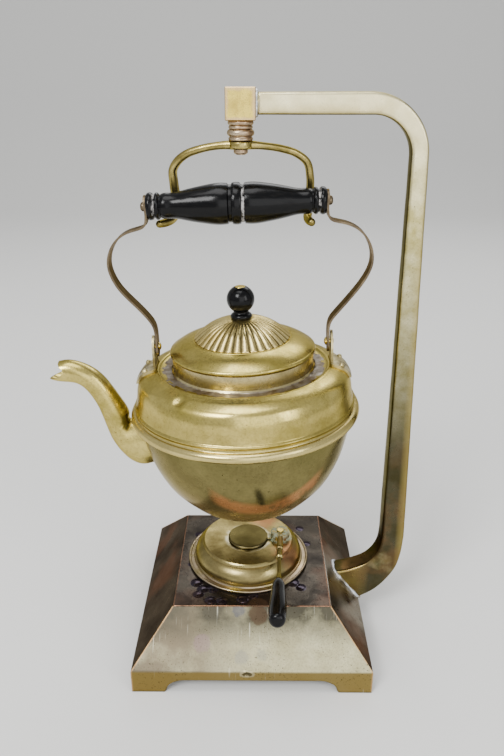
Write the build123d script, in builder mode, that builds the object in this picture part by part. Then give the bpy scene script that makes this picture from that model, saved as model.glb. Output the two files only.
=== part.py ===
"""Spirit kettle on a tapered hanging stand, with its spirit lamp.

Frame: origin on the table at the centre of the square base, +Z up, +X towards the arm,
-Y towards the front. The kettle is drawn upright in a frame of its own, with its origin at
the centre of its foot, and kettle_place then hangs it, with its slight lean, on the hooks.
Millimetres.
"""
import os

from build123d import *

# Base: four bent sheet panels under a square top plate
sheet = 1.2
base_half = 72.5
base_height = 44.6
skirt_height = 15.8
top_half = 48.5
arch_half = 52.4
arch_height = 9.2
arch_corner = 12.0
lamp_hole_radius = 32.5

# Arm: one bar, tapering both ways from its root to its tip, on the right slope of the base
arm_tip_x, arm_tip_low, arm_tip_high = 1.6, 324.1, 335.0
arm_bend_z = 303.3
arm_bend_x = 60.7
arm_bend_outer, arm_bend_inner = 32.0, 20.8
arm_inner_bend_x = 62.6
arm_foot_z = 65.0
arm_foot_outer_x, arm_foot_inner_x = 99.6, 85.0
arm_half_depth_tip, arm_half_depth_root = 4.6, 7.0
arm_edge = 1.5

# Swivel: block, turned post with its stud, and the nut that carries the yoke
swivel_x = -6.25
block_side = 15.7
block_low, block_high = 321.4, 337.4
post_low = 311.5
post_radius = 6.5
stud_radius = 2.5
stud_low = 304.3
running = 0.05
gap = 0.3

# Yoke: double hook of round rod
boss_radius, boss_low, boss_high = 6.0, 307.2, 311.2

# Kettle, in its own frame
kettle_lean = 2.03
kettle_foot_x, kettle_foot_z = -2.08, 90.0
wall = 1.2
bowl_rim_radius, bowl_rim_z = 64.4, 64.8
bead_radius, bead_z = 69.0, 67.4
collar_radius, collar_high = 41.7, 104.0
grip_z = 189.1
grip_half = 48.8
rod_radius = 1.75

# Bail straps and ears
strap_thick, strap_width = 1.2, 8.8
strap_top_x = grip_half + gap + strap_thick / 2
strap_foot_x = 50.2
strap_high, strap_low = 195.2, 101.8
ear_z = 108.0
pin_radius = 1.5
lug_thick = 1.3
ear_x = 51.7
ear_width, ear_foot_width = 12.6, 20.0

# Lid
lid_radius = 42.9
lid_low, lid_rim_z = 104.3, 106.2
dome_radius, dome_edge_z = 28.3, 113.4
dome_top_radius, dome_top_z = 6.0, 123.9
reeds = 36
knob_ball_z, knob_ball_radius, knob_top_z, knob_hole = 135.2, 8.1, 142.6, 1.7

# Spirit lamp, standing in the hole of the top plate
lamp_x, lamp_y = -2.9, 1.5
lamp_radius = 40.0
lamp_top_z = 59.3
lamp_seat = 44.9
tank_radius, tank_low = 30.5, 19.0
wick_hole_radius = 7.2
wick_low = 26.0
cap_y, cap_radius, cap_low, cap_thick = 0.8, 13.1, 59.9, 1.3
pivot_x, pivot_y, pivot_radius = 18.6, 1.6, 1.4
pivot_boss_radius, boss_top = 6.3, 64.2
lever_z = 62.1
lever_yaw, lever_rise = 2.9, 5.5
ferrule_start, grip_start, grip_end = 48.0, 54.0, 93.5

os.makedirs("parts", exist_ok=True)
kettle_place = Location((kettle_foot_x, 0, kettle_foot_z), (0, -kettle_lean, 0))
lever_turn = Location((0, 0, 0), (90 - lever_rise, 0, 0))
lever_place = Location((pivot_x, pivot_y, lever_z), (0, 0, -lever_yaw)) * lever_turn


def save(piece, label):
    """Label a finished piece and write its STEP file."""
    piece.label = label
    export_step(piece, f"parts/{label}.step")


def upright(x, z):
    """Sketch plane facing the front, with its origin at x and z."""
    return Plane(origin=(x, 0, z), x_dir=(1, 0, 0), z_dir=(0, -1, 0))


def hang(piece, label):
    """Move a piece from the kettle's own frame to its place on the hooks, and write it."""
    save(kettle_place * piece, label)


# ---------------------------------------------------------------- base
slope_run = base_half - top_half
slope_rise = base_height - skirt_height
slope_length = (slope_run**2 + slope_rise**2) ** 0.5
plate_low = base_height - sheet
plate_low_half = top_half + sheet * slope_run / slope_rise
# Where the inner face of the bend lies, and the inner face under the top plate
inner_half = base_half - sheet
bend_inner_z = skirt_height - sheet * (slope_length - slope_rise) / slope_run
panel_inner_top = plate_low_half - sheet * slope_length / slope_rise

with BuildPart() as panel:
    with BuildSketch(Plane.YZ) as panel_profile:
        with BuildLine():
            Polyline(
                (-base_half, 0),
                (-base_half, skirt_height),
                (-plate_low_half, plate_low),
                (-panel_inner_top, plate_low),
                (-inner_half, bend_inner_z),
                (-inner_half, 0),
                close=True,
            )
        make_face()
    extrude(amount=base_half, both=True)
    with BuildSketch(Plane.XY) as mitre:
        with BuildLine():
            Polyline((0, 0), (-base_half - 1, -base_half - 1), (base_half + 1, -base_half - 1), close=True)
        make_face()
    extrude(amount=base_height, mode=Mode.INTERSECT)
    with BuildSketch(Plane.XZ.offset(base_half + 1)) as arch:
        with BuildLine():
            flank = arch_half - arch_corner
            Polyline((-arch_half, 0), (-arch_half, -1), (arch_half, -1), (arch_half, 0))
            EllipticalCenterArc((flank, 0), arch_corner, arch_height, arc_size=90)
            Line((flank, arch_height), (-flank, arch_height))
            EllipticalCenterArc((-flank, 0), arch_corner, arch_height, start_angle=90, arc_size=90)
        make_face()
    extrude(amount=-4, mode=Mode.SUBTRACT)

for turn, side in enumerate(("front", "right", "back", "left")):
    save(Rot(0, 0, 90 * turn) * panel.part, f"base_{side}_panel")

with BuildPart() as base_top_plate:
    with BuildSketch(Plane.XY.offset(plate_low)):
        Rectangle(2 * plate_low_half, 2 * plate_low_half)
    with BuildSketch(Plane.XY.offset(base_height)):
        Rectangle(2 * top_half, 2 * top_half)
    loft()
    with Locations((lamp_x, lamp_y, base_height)):
        Hole(lamp_hole_radius)
save(base_top_plate.part, "base_top_plate")

# ---------------------------------------------------------------- arm and swivel
# The root is cut to sit flat on the right slope
root_low = (base_half, skirt_height)
root_high_z = 36.9
root_high = (top_half + (base_height - root_high_z) * slope_run / slope_rise, root_high_z)

with BuildPart() as stand_arm:
    with BuildSketch(Plane.XZ) as arm_side:
        with BuildLine():
            Line((arm_tip_x, arm_tip_high), (arm_bend_x, arm_bend_z + arm_bend_outer))
            CenterArc((arm_bend_x, arm_bend_z), arm_bend_outer, 90, -90)
            Line((arm_bend_x + arm_bend_outer, arm_bend_z), (arm_foot_outer_x, arm_foot_z))
            ThreePointArc((arm_foot_outer_x, arm_foot_z), (92.0, 33.6), root_low)
            Line(root_low, root_high)
            ThreePointArc(root_high, (77.8, 45.9), (arm_foot_inner_x, arm_foot_z))
            Line((arm_foot_inner_x, arm_foot_z), (arm_inner_bend_x + arm_bend_inner, arm_bend_z))
            CenterArc((arm_inner_bend_x, arm_bend_z), arm_bend_inner, 0, 90)
            Line((arm_inner_bend_x, arm_bend_z + arm_bend_inner), (arm_tip_x, arm_tip_low))
            Line((arm_tip_x, arm_tip_low), (arm_tip_x, arm_tip_high))
        make_face()
    extrude(amount=arm_half_depth_root + 1, both=True)
    with BuildSketch(Plane.YZ) as arm_taper:
        Polygon(
            (-arm_half_depth_root, skirt_height - 1),
            (arm_half_depth_root, skirt_height - 1),
            (arm_half_depth_tip, block_high),
            (-arm_half_depth_tip, block_high),
            align=None,
        )
    extrude(amount=arm_foot_outer_x + 5, mode=Mode.INTERSECT)
    sides = stand_arm.faces().filter_by(lambda face: abs(face.normal_at().Y) > 0.9)
    rims = sides.edges().filter_by(lambda edge: edge.length > 15)
    chamfer(rims.sort_by(Axis.Z)[2:], arm_edge)
save(stand_arm.part, "stand_arm")

with BuildPart() as arm_block:
    with Locations((swivel_x, 0, (block_low + block_high) / 2)):
        Box(block_side, block_side, block_high - block_low)
    chamfer(arm_block.edges(), 0.4)
save(arm_block.part, "arm_block")

with BuildPart() as swivel_post:
    with BuildSketch(upright(swivel_x, 0)) as post_profile:
        with BuildLine():
            Polyline(
                (0, stud_low),
                (stud_radius, stud_low),
                (stud_radius, post_low),
                (post_radius - 0.4, post_low),
            )
            ThreePointArc(
                (post_radius - 0.4, post_low),
                (post_radius, post_low + 0.8),
                (post_radius - 0.6, 313.1),
            )
            Line((post_radius - 0.6, 313.1), (post_radius - 0.6, 313.5))
            ThreePointArc((post_radius - 0.6, 313.5), (7.2, 315.3), (post_radius - 0.7, 317.1))
            ThreePointArc((post_radius - 0.7, 317.1), (6.4, 318.0), (post_radius - 0.7, 318.9))
            ThreePointArc((post_radius - 0.7, 318.9), (6.8, 320.1), (post_radius - 0.3, block_low))
            Polyline((post_radius - 0.3, block_low), (0, block_low), (0, stud_low))
        make_face()
    revolve(axis=Axis((swivel_x, 0, 0), (0, 0, 1)))
save(swivel_post.part, "swivel_post")

with BuildPart() as swivel_nut:
    with Locations((swivel_x, 0, boss_low - gap)):
        Cylinder(3.8, 2.3, align=(Align.CENTER, Align.CENTER, Align.MAX))
    fillet(swivel_nut.edges().sort_by(Axis.Z)[0], 1.2)
    with Locations((swivel_x, 0, boss_low)):
        Cylinder(stud_radius, 6, mode=Mode.SUBTRACT)
save(swivel_nut.part, "swivel_nut")


def tapered_rod(stations):
    """Round rod through (x, y, z, radius) stations, its sections square to its run and free of twist."""
    run = Edge.make_spline([Vector(*station[:3]) for station in stations])
    across = Vector(0, 1, 0)
    with BuildPart(mode=Mode.PRIVATE) as rod:
        for x, y, z, radius in stations:
            ahead = run % run.param_at_point((x, y, z))
            across = (across - ahead * across.dot(ahead)).normalized()
            with BuildSketch(Plane(origin=(x, y, z), x_dir=across, z_dir=ahead)):
                Circle(radius)
        loft()
    return rod.part


# Each hook runs out behind the grip, down past it, and forward again under it
left_hook = (
    (-9.0, 0.3, 309.3, 1.9),
    (-17.2, 1.3, 308.9, 1.95),
    (-28.6, 3.4, 306.7, 2.05),
    (-35.7, 5.2, 304.1, 2.15),
    (-40.5, 6.8, 300.5, 2.3),
    (-43.5, 8.8, 295.9, 2.4),
    (-43.6, 10.8, 288.1, 2.55),
    (-42.9, 12.0, 279.5, 2.65),
    (-42.8, 11.4, 273.0, 2.6),
    (-45.0, 8.9, 269.2, 2.5),
    (-48.6, 5.4, 267.6, 2.35),
    (-52.0, 2.4, 267.3, 2.0),
)
right_hook = (
    (-3.0, 0.3, 309.2, 1.9),
    (6.3, 2.0, 308.5, 1.9),
    (15.5, 4.2, 307.0, 1.95),
    (24.0, 6.2, 304.2, 2.0),
    (29.6, 8.2, 299.6, 2.1),
    (31.6, 9.9, 291.8, 2.2),
    (31.8, 11.5, 282.0, 2.35),
    (31.4, 10.6, 274.5, 2.4),
    (30.6, 6.4, 270.6, 2.4),
    (31.2, 1.5, 269.5, 2.35),
    (32.2, -3.4, 269.4, 2.1),
)
with BuildPart() as yoke:
    with Locations((swivel_x, 0, (boss_low + boss_high) / 2)):
        Cylinder(boss_radius, boss_high - boss_low)
    fillet(yoke.edges(), 0.9)
    add(tapered_rod(left_hook))
    add(tapered_rod(right_hook))
    for *tip, radius in (left_hook[-1], right_hook[-1]):
        with Locations(tuple(tip)):
            Sphere(radius - 0.1)
    with Locations((swivel_x, 0, (boss_low + boss_high) / 2)):
        Cylinder(stud_radius + running, boss_high - boss_low + 4, mode=Mode.SUBTRACT)
save(yoke.part, "yoke")

# ---------------------------------------------------------------- kettle body
# Everything from here to the lamp is drawn upright about the kettle's own foot
bowl_curve = (
    (23.2, 0.8),
    (29.4, 3.4),
    (36.6, 8.1),
    (43.6, 15.1),
    (50.4, 23.1),
    (55.5, 32.1),
    (59.5, 42.1),
    (62.2, 52.1),
    (64.0, 60.1),
    (bowl_rim_radius, bowl_rim_z),
)
# The round bead over the joint, the fine line above it, and the shoulder from there to its ridge
bead_start, bead_end = (64.7, bowl_rim_z), (66.3, 70.8)
line_start, line_end = (65.6, 72.8), (65.4, 74.5)
shoulder_curve = (line_end, (64.5, 80.1), (63.6, 86.1), (61.6, 90.8), (57.0, 94.0), (52.6, 95.5))

with BuildPart() as kettle_bowl:
    with BuildSketch(Plane.XZ) as bowl_section:
        with BuildLine():
            outer = Spline(*bowl_curve)
            Polyline(
                outer @ 0,
                (22.6, 0),
                (21.6, 0),
                (21.6, 1.6),
                (0, 1.6),
                (0, 1.6 + wall),
                (23.4, 1.6 + wall),
            )
            inner = Spline(
                (23.4, 1.6 + wall),
                (36.0, 9.3),
                (49.5, 24.1),
                (58.3, 42.4),
                (62.8, 60.3),
                (bowl_rim_radius - wall, bowl_rim_z),
            )
            Line(inner @ 1, outer @ 1)
        make_face()
    revolve(axis=Axis.Z)

with BuildPart() as kettle_shoulder:
    with BuildSketch(Plane.XZ) as shoulder_section:
        with BuildLine():
            Line((bowl_rim_radius - wall, bowl_rim_z), bead_start)
            ThreePointArc(bead_start, (bead_radius, bead_z), bead_end)
            Line(bead_end, line_start)
            ThreePointArc(line_start, (66.4, 73.6), line_end)
            Spline(*shoulder_curve)
            ThreePointArc((52.6, 95.5), (50.9, 95.9), (49.6, 95.0))
            Polyline(
                (49.6, 95.0),
                (48.4, 94.3),
                (collar_radius - wall, 94.2),
                (collar_radius - wall, 93.0),
                (49.2, 93.1),
            )
            Spline(
                (49.2, 93.1),
                (56.3, 92.9),
                (60.7, 89.9),
                (62.4, 86.0),
                (63.2, 80.0),
                (64.3, 74.0),
                (64.6, 68.0),
            )
            Line((64.6, 68.0), (bowl_rim_radius - wall, bowl_rim_z))
        make_face()
    revolve(axis=Axis.Z)

# The closed outside of both shells, which the soldered-on pieces are cut to
with BuildPart() as kettle_outside:
    with BuildSketch(Plane.XZ) as outside_section:
        with BuildLine():
            outside_bowl = Spline(*bowl_curve)
            Line(outside_bowl @ 1, bead_start)
            ThreePointArc(bead_start, (bead_radius, bead_z), bead_end)
            Line(bead_end, line_start)
            ThreePointArc(line_start, (66.4, 73.6), line_end)
            Spline(*shoulder_curve)
            ThreePointArc((52.6, 95.5), (50.9, 95.9), (49.6, 95.0))
            Polyline((49.6, 95.0), (48.4, 94.3), (0, 94.2), (0, 0.8), outside_bowl @ 0)
        make_face()
    revolve(axis=Axis.Z)

with BuildPart() as neck_collar:
    with BuildSketch(Plane.XZ) as collar_section:
        with BuildLine():
            Polyline(
                (collar_radius - wall, 94.2),
                (collar_radius + 1.2, 94.25),
                (collar_radius + 0.1, 95.6),
                (collar_radius, 97.0),
                (collar_radius, collar_high - 0.4),
                (collar_radius - 0.4, collar_high),
                (collar_radius - wall, collar_high),
                close=True,
            )
        make_face()
    revolve(axis=Axis.Z)
hang(neck_collar.part, "neck_collar")

# Gooseneck spout: each row is the low and the high side of a section and its half width
spout_rows = (
    ((-57.0, 30.6), (-57.0, 59.6), 9.0),
    ((-65.0, 29.5), (-66.6, 59.6), 9.0),
    ((-71.4, 31.6), (-70.6, 60.2), 8.9),
    ((-76.6, 36.4), (-71.7, 60.8), 8.7),
    ((-80.8, 42.5), (-72.0, 61.4), 8.5),
    ((-84.1, 49.4), (-71.9, 62.3), 8.3),
    ((-86.3, 57.2), (-71.6, 64.2), 8.0),
    ((-88.6, 66.4), (-73.2, 69.8), 7.7),
    ((-91.5, 74.5), (-79.2, 81.2), 6.9),
    ((-95.0, 80.8), (-85.2, 90.4), 6.7),
    ((-99.8, 85.6), (-93.6, 97.3), 6.5),
    ((-106.0, 87.2), (-102.2, 100.6), 6.3),
    ((-117.4, 90.0), (-110.4, 100.3), 5.6),
)
# Side view of the mouth: an upright upper lip, a notch under it, and a pouring beak
mouth_curve = (
    (-109.9, 102),
    (-109.7, 98.7),
    (-107.0, 95.8),
    (-109.2, 93.0),
    (-113.0, 91.0),
    (-117.8, 89.6),
)


def gooseneck(thinner):
    """Swollen root and slender neck of the spout, thinner all round by the amount given."""
    with BuildPart(mode=Mode.PRIVATE) as tube:
        for rows in (spout_rows[:6], spout_rows[5:]):
            with BuildPart() as length:
                for low, high, half in rows:
                    down = Vector(low[0], 0, low[1])
                    up = Vector(high[0], 0, high[1])
                    along = (up - down).cross(Vector(0, 1, 0))
                    with BuildSketch(Plane(origin=(down + up) * 0.5, x_dir=(0, 1, 0), z_dir=along)):
                        Ellipse(half - thinner, (up - down).length / 2 - thinner)
                loft()
    return tube.part


with BuildPart() as spout:
    add(gooseneck(0))
    add(gooseneck(1.1), mode=Mode.SUBTRACT)
    add(kettle_outside.part, mode=Mode.SUBTRACT)
    with BuildSketch(Plane.XZ):
        with BuildLine():
            Spline(*mouth_curve)
            Polyline(mouth_curve[-1], (-122, 89.6), (-122, 102), mouth_curve[0])
        make_face()
    extrude(amount=10, both=True, mode=Mode.SUBTRACT)
hang(spout.part, "spout")

with BuildPart() as spouted_bowl:
    add(kettle_bowl.part)
    with Locations(Location((-60, 0, 45), (0, 90, 0))):
        Cylinder(6.0, 16, mode=Mode.SUBTRACT)
hang(spouted_bowl.part, "kettle_bowl")

# Ears: a plate bent over the shoulder, with an upright tongue that carries the hinge pin
with BuildPart() as ear_band:
    with BuildSketch(Plane.XZ) as band_section:
        with BuildLine():
            Spline((50.2, 97.2), (53.0, 96.9), (57.6, 95.4), (62.2, 92.0), (64.2, 88.4))
            Polyline((64.2, 88.4), (61.0, 88.4), (59.6, 89.8), (55.0, 93.2), (50.2, 93.4), (50.2, 97.2))
        make_face()
    revolve(axis=Axis.Z)

with BuildPart() as ear:
    with BuildSketch(Plane.XY.offset(84)):
        with Locations((ear_x + 7.5, 0)):
            RectangleRounded(15, ear_foot_width, 1.5)
    extrude(amount=15)
    add(ear_band.part, mode=Mode.INTERSECT)
    with BuildSketch(Plane.YZ.offset(ear_x)):
        with Locations((0, 96.5)):
            Rectangle(ear_width, 9)
        with Locations((0, 101)):
            Ellipse(ear_width / 2, 13.8)
    extrude(amount=lug_thick)
    add(kettle_outside.part, mode=Mode.SUBTRACT)
    with Locations(Location((ear_x, 0, ear_z), (0, 90, 0))):
        Cylinder(pin_radius, 8, mode=Mode.SUBTRACT)
    with Locations((ear_x + 6.3, -7.4, 96), (ear_x + 6.3, 7.4, 96)):
        Cylinder(0.9, 12, mode=Mode.SUBTRACT)

with BuildPart() as ear_rivets:
    with Locations((ear_x + 6.3, -7.4, 94.2), (ear_x + 6.3, 7.4, 94.2)):
        Cylinder(0.9, 3.6)
    with Locations((ear_x + 6.3, -7.4, 95.0), (ear_x + 6.3, 7.4, 95.0)):
        Sphere(1.7)
    add(ear.part, mode=Mode.SUBTRACT)
    add(kettle_outside.part, mode=Mode.SUBTRACT)

with BuildPart() as hinge_pin:
    with BuildSketch(upright(0, ear_z)) as pin_section:
        with BuildLine():
            head_x = strap_foot_x - strap_thick / 2 - gap
            far_x = ear_x + lug_thick
            Polyline(
                (head_x - 1.3, 0),
                (head_x - 1.2, 1.2),
                (head_x - 0.7, 2.1),
                (head_x, 2.5),
                (head_x, pin_radius),
            )
            Polyline(
                (head_x, pin_radius),
                (far_x, pin_radius),
                (far_x, 2.1),
                (far_x + 0.6, 1.5),
                (far_x + 0.8, 0),
            )
            Line((far_x + 0.8, 0), (head_x - 1.3, 0))
        make_face()
    revolve(axis=Axis((0, 0, ear_z), (1, 0, 0)))

for side in ("right", "left"):
    turned = Rot(0, 0, 180) if side == "left" else Rot(0, 0, 0)
    hang(turned * ear.part, f"ear_{side}")
    hang(turned * ear_rivets.part, f"ear_rivets_{side}")
    hang(turned * hinge_pin.part, f"hinge_pin_{side}")
hang(kettle_shoulder.part, "kettle_shoulder")

# ---------------------------------------------------------------- bail
# Each strap drops from the grip, swings out wide and comes back in to its ear
strap_right_run = (
    (strap_top_x, strap_high),
    (strap_top_x, 189.0),
    (strap_top_x, 183.0),
    (50.9, 179.8),
    (54.9, 178.0),
    (61.0, 176.4),
    (67.2, 172.9),
    (72.0, 166.9),
    (74.3, 159.9),
    (74.2, 154.0),
    (71.8, 147.6),
    (64.7, 137.4),
    (54.8, 125.8),
    (51.3, 120.8),
    (strap_foot_x, 115.0),
    (strap_foot_x, 108.0),
    (strap_foot_x, strap_low),
)
strap_left_run = (
    (strap_top_x, strap_high),
    (strap_top_x, 189.0),
    (strap_top_x, 182.6),
    (51.0, 179.2),
    (54.9, 177.4),
    (61.8, 175.4),
    (67.7, 171.2),
    (71.8, 164.6),
    (73.1, 158.0),
    (71.7, 150.8),
    (68.3, 144.0),
    (62.7, 137.0),
    (54.0, 126.6),
    (50.9, 121.0),
    (strap_foot_x, 115.0),
    (strap_foot_x, 108.0),
    (strap_foot_x, strap_low),
)


def bail_strap(run):
    """Flat strap of one width bent along a run, its ends rounded and drilled."""
    with BuildPart(mode=Mode.PRIVATE) as strap:
        with BuildLine(Plane.XZ) as path:
            Spline(*run)
        with BuildSketch(Plane(origin=(strap_top_x, 0, strap_high), x_dir=(1, 0, 0), z_dir=(0, 0, -1))):
            Rectangle(strap_thick, strap_width)
        sweep(path=path.wire())
        with BuildSketch(Plane.YZ):
            with Locations((0, (strap_high + strap_low) / 2)):
                SlotOverall(strap_high - strap_low, strap_width, rotation=90)
        extrude(amount=90, mode=Mode.INTERSECT)
        with Locations(Location((strap_foot_x, 0, ear_z), (0, 90, 0))):
            Cylinder(pin_radius + running, 6, mode=Mode.SUBTRACT)
        with Locations(Location((strap_top_x, 0, grip_z), (0, 90, 0))):
            Cylinder(rod_radius, 6, mode=Mode.SUBTRACT)
    return strap.part


strap_right = bail_strap(strap_right_run)
strap_left = mirror(bail_strap(strap_left_run), about=Plane.YZ)
hang(strap_right, "bail_strap_right")
hang(strap_left, "bail_strap_left")

with BuildPart() as handle_grip:
    with BuildSketch(upright(0, grip_z)) as grip_section:
        with BuildLine():
            Polyline((0, rod_radius), (grip_half, rod_radius), (grip_half, 6.6))
            ThreePointArc((grip_half, 6.6), (grip_half - 1.7, 7.5), (grip_half - 3.4, 6.8))
            Polyline((grip_half - 3.4, 6.8), (45.2, 6.2), (44.5, 6.2), (44.3, 6.7))
            ThreePointArc((44.3, 6.7), (43.2, 7.3), (42.0, 6.6))
            Polyline((42.0, 6.6), (41.6, 6.2), (41.2, 6.2))
            Spline(
                (41.2, 6.2),
                (40.2, 6.7),
                (36.0, 6.9),
                (28.0, 8.2),
                (17.0, 10.3),
                (8.0, 11.2),
                (4.7, 10.9),
            )
            Polyline((4.7, 10.9), (4.1, 10.1), (2.6, 10.1), (2.3, 10.9))
            ThreePointArc((2.3, 10.9), (1.2, 11.25), (0, 11.3))
            Line((0, 11.3), (0, rod_radius))
        make_face()
    revolve(axis=Axis((0, 0, grip_z), (1, 0, 0)))
    mirror(about=Plane.YZ)
hang(handle_grip.part, "handle_grip")

# The rod through the grip is headed over both straps
strap_outside = strap_top_x + strap_thick / 2
with BuildPart() as grip_rod:
    with Locations(Location((0, 0, grip_z), (0, 90, 0))):
        Cylinder(rod_radius + 0.8, 2 * (strap_outside + 2.2))
        Cylinder(rod_radius + 0.8, 2 * strap_outside, mode=Mode.SUBTRACT)
    fillet(grip_rod.edges().group_by(Axis.X)[0] + grip_rod.edges().group_by(Axis.X)[-1], 1.6)
    with Locations(Location((0, 0, grip_z), (0, 90, 0))):
        Cylinder(rod_radius, 2 * (strap_outside + 1))
    add([strap_left, strap_right], mode=Mode.SUBTRACT)
hang(grip_rod.part, "grip_rod")

# ---------------------------------------------------------------- lid
dome_base = dome_edge_z - 1.0
with BuildPart() as lid_plate:
    with BuildSketch(Plane.XZ) as plate_section:
        with BuildLine():
            Polyline((25.0, dome_base - wall), (25.0, dome_base), (28.8, dome_base))
            ThreePointArc((28.8, dome_base), (29.3, dome_base + 0.25), (29.8, dome_base - 0.1))
            Spline(
                (29.8, dome_base - 0.1),
                (34.4, 111.1),
                (38.6, 109.1),
                (lid_radius - 0.9, lid_rim_z + 0.6),
            )
            ThreePointArc(
                (lid_radius - 0.9, lid_rim_z + 0.6),
                (lid_radius, lid_rim_z - 0.4),
                (lid_radius - 0.8, lid_low),
            )
            Polyline((lid_radius - 0.8, lid_low), (38.6, lid_low), (38.6, 107.5))
            Spline((38.6, 107.5), (33.8, 109.9), (25.0, dome_base - wall))
        make_face()
    revolve(axis=Axis.Z)
hang(lid_plate.part, "lid_plate")

with BuildPart() as lid_flange:
    with BuildSketch(Plane.XY.offset(lid_low)):
        Circle(collar_radius - wall - gap)
        Circle(collar_radius - wall - gap - 1.0, mode=Mode.SUBTRACT)
    extrude(amount=-7.0)
hang(lid_flange.part, "lid_flange")

# Dome with round reeds from the knob to its edge, parted by hollows that grow shallow towards the knob
crown_edge, crown_mid, crown_top = (dome_radius, dome_edge_z), (18.3, 121.0), (dome_top_radius, dome_top_z)
with BuildPart() as lid_dome:
    with BuildSketch(Plane.XZ) as dome_section:
        with BuildLine():
            Line((dome_radius, dome_base), crown_edge)
            ThreePointArc(crown_edge, crown_mid, crown_top)
            Polyline(
                crown_top,
                (knob_hole, dome_top_z),
                (knob_hole, dome_top_z - wall),
                (6.4, dome_top_z - 2.1),
            )
            ThreePointArc((6.4, dome_top_z - 2.1), (17.4, 118.9), (dome_radius - 2.2, dome_edge_z - 0.3))
            Polyline(
                (dome_radius - 2.2, dome_edge_z - 0.3),
                (dome_radius - 2.2, dome_base),
                (dome_radius, dome_base),
            )
        make_face()
    revolve(axis=Axis.Z)
    with BuildLine(Plane.XZ) as hollow_run:
        ThreePointArc((dome_radius + 0.7, dome_edge_z - 0.6), (18.9, 121.7), (9.0, 124.6))
    with BuildPart(mode=Mode.PRIVATE) as hollow:
        with BuildSketch(Plane(origin=hollow_run.line @ 0, z_dir=hollow_run.line % 0)):
            Circle(1.4)
        sweep(path=hollow_run.wire())
    with PolarLocations(0, reeds):
        add(hollow.part, mode=Mode.SUBTRACT)
hang(lid_dome.part, "lid_dome")

with BuildPart() as lid_knob:
    with BuildSketch(Plane.XZ) as knob_section:
        with BuildLine():
            Polyline((knob_hole, dome_top_z), (5.7, dome_top_z))
            ThreePointArc((5.7, dome_top_z), (6.3, 125.2), (5.6, 126.6))
            Spline((5.6, 126.6), (4.5, 128.1), (5.0, 128.9), tangents=[(-0.8, 0.5), (0.8, 0.6)])
            ThreePointArc((5.0, 128.9), (knob_ball_radius, knob_ball_z), (3.3, knob_top_z))
            Polyline(
                (3.3, knob_top_z),
                (3.1, knob_top_z - 0.9),
                (knob_hole, knob_top_z - 0.9),
                (knob_hole, dome_top_z),
            )
        make_face()
    revolve(axis=Axis.Z)
hang(lid_knob.part, "lid_knob")

# Its flat head lies flush in the top of the knob, and its nut is under the dome
with BuildPart() as knob_screw:
    with Locations((0, 0, dome_top_z - 3.1)):
        Cylinder(knob_hole, knob_top_z - dome_top_z + 2.6, align=(Align.CENTER, Align.CENTER, Align.MIN))
        Cylinder(3.0, 1.1, align=(Align.CENTER, Align.CENTER, Align.MIN))
    with Locations((0, 0, knob_top_z - 0.9)):
        Cylinder(3.1, 1.1, align=(Align.CENTER, Align.CENTER, Align.MIN))
    fillet(knob_screw.edges().sort_by(Axis.Z)[-1], 0.4)
hang(knob_screw.part, "knob_screw")

# ---------------------------------------------------------------- spirit lamp
with BuildPart() as lamp_cover:
    with BuildSketch(upright(lamp_x, 0)) as cover_section:
        with BuildLine():
            Polyline(
                (wick_hole_radius, lamp_top_z - wall),
                (wick_hole_radius, lamp_top_z),
                (29.0, lamp_top_z),
                (29.7, lamp_top_z - 0.7),
                (30.1, lamp_top_z - 1.9),
            )
            ThreePointArc((30.1, lamp_top_z - 1.9), (34.0, 53.6), (35.2, 47.6))
            Polyline((35.2, 47.6), (36.0, 47.3), (36.4, 46.5), (38.4, 46.3), (38.8, 46.7))
            ThreePointArc((38.8, 46.7), (39.6, 46.8), (lamp_radius, 46.1))
            Polyline((lamp_radius, 46.1), (lamp_radius - 0.5, lamp_seat), (33.8, lamp_seat), (33.8, 47.6))
            ThreePointArc((33.8, 47.6), (32.8, 53.0), (28.6, lamp_top_z - wall))
            Line((28.6, lamp_top_z - wall), (wick_hole_radius, lamp_top_z - wall))
        make_face()
    revolve(axis=Axis((lamp_x, 0, 0), (0, 0, 1)))
with BuildPart() as lamp_tank:
    with BuildSketch(upright(lamp_x, 0)) as tank_section:
        with BuildLine():
            Polyline((0, tank_low), (tank_radius - 3, tank_low))
            ThreePointArc(
                (tank_radius - 3, tank_low),
                (tank_radius - 0.9, tank_low + 0.9),
                (tank_radius, tank_low + 3),
            )
            Polyline(
                (tank_radius, tank_low + 3),
                (tank_radius, lamp_seat),
                (33.8, lamp_seat),
                (33.8, lamp_seat + wall),
                (tank_radius - wall, lamp_seat + wall),
                (tank_radius - wall, tank_low + 3),
                (tank_radius - 3, tank_low + wall),
                (0, tank_low + wall),
                (0, tank_low),
            )
        make_face()
    revolve(axis=Axis((lamp_x, 0, 0), (0, 0, 1)))

with BuildPart() as wick_tube:
    with BuildSketch(Plane.XY.offset(wick_low)):
        with Locations((lamp_x, 0)):
            Circle(wick_hole_radius)
            Circle(wick_hole_radius - 0.8, mode=Mode.SUBTRACT)
    extrude(amount=lamp_top_z + 0.2 - wick_low)

with BuildPart() as wick:
    with BuildSketch(Plane.XY.offset(wick_low - 3)):
        with Locations((lamp_x, 0)):
            Circle(wick_hole_radius - 0.8)
    extrude(amount=lamp_top_z - wick_low + 3)
    chamfer(wick.edges().sort_by(Axis.Z)[-1], 0.5)

for piece, label in (
    (lamp_cover, "lamp_cover"),
    (lamp_tank, "lamp_tank"),
    (wick_tube, "wick_tube"),
    (wick, "lamp_wick"),
):
    save(Pos(0, lamp_y, 0) * piece.part, label)

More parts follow.
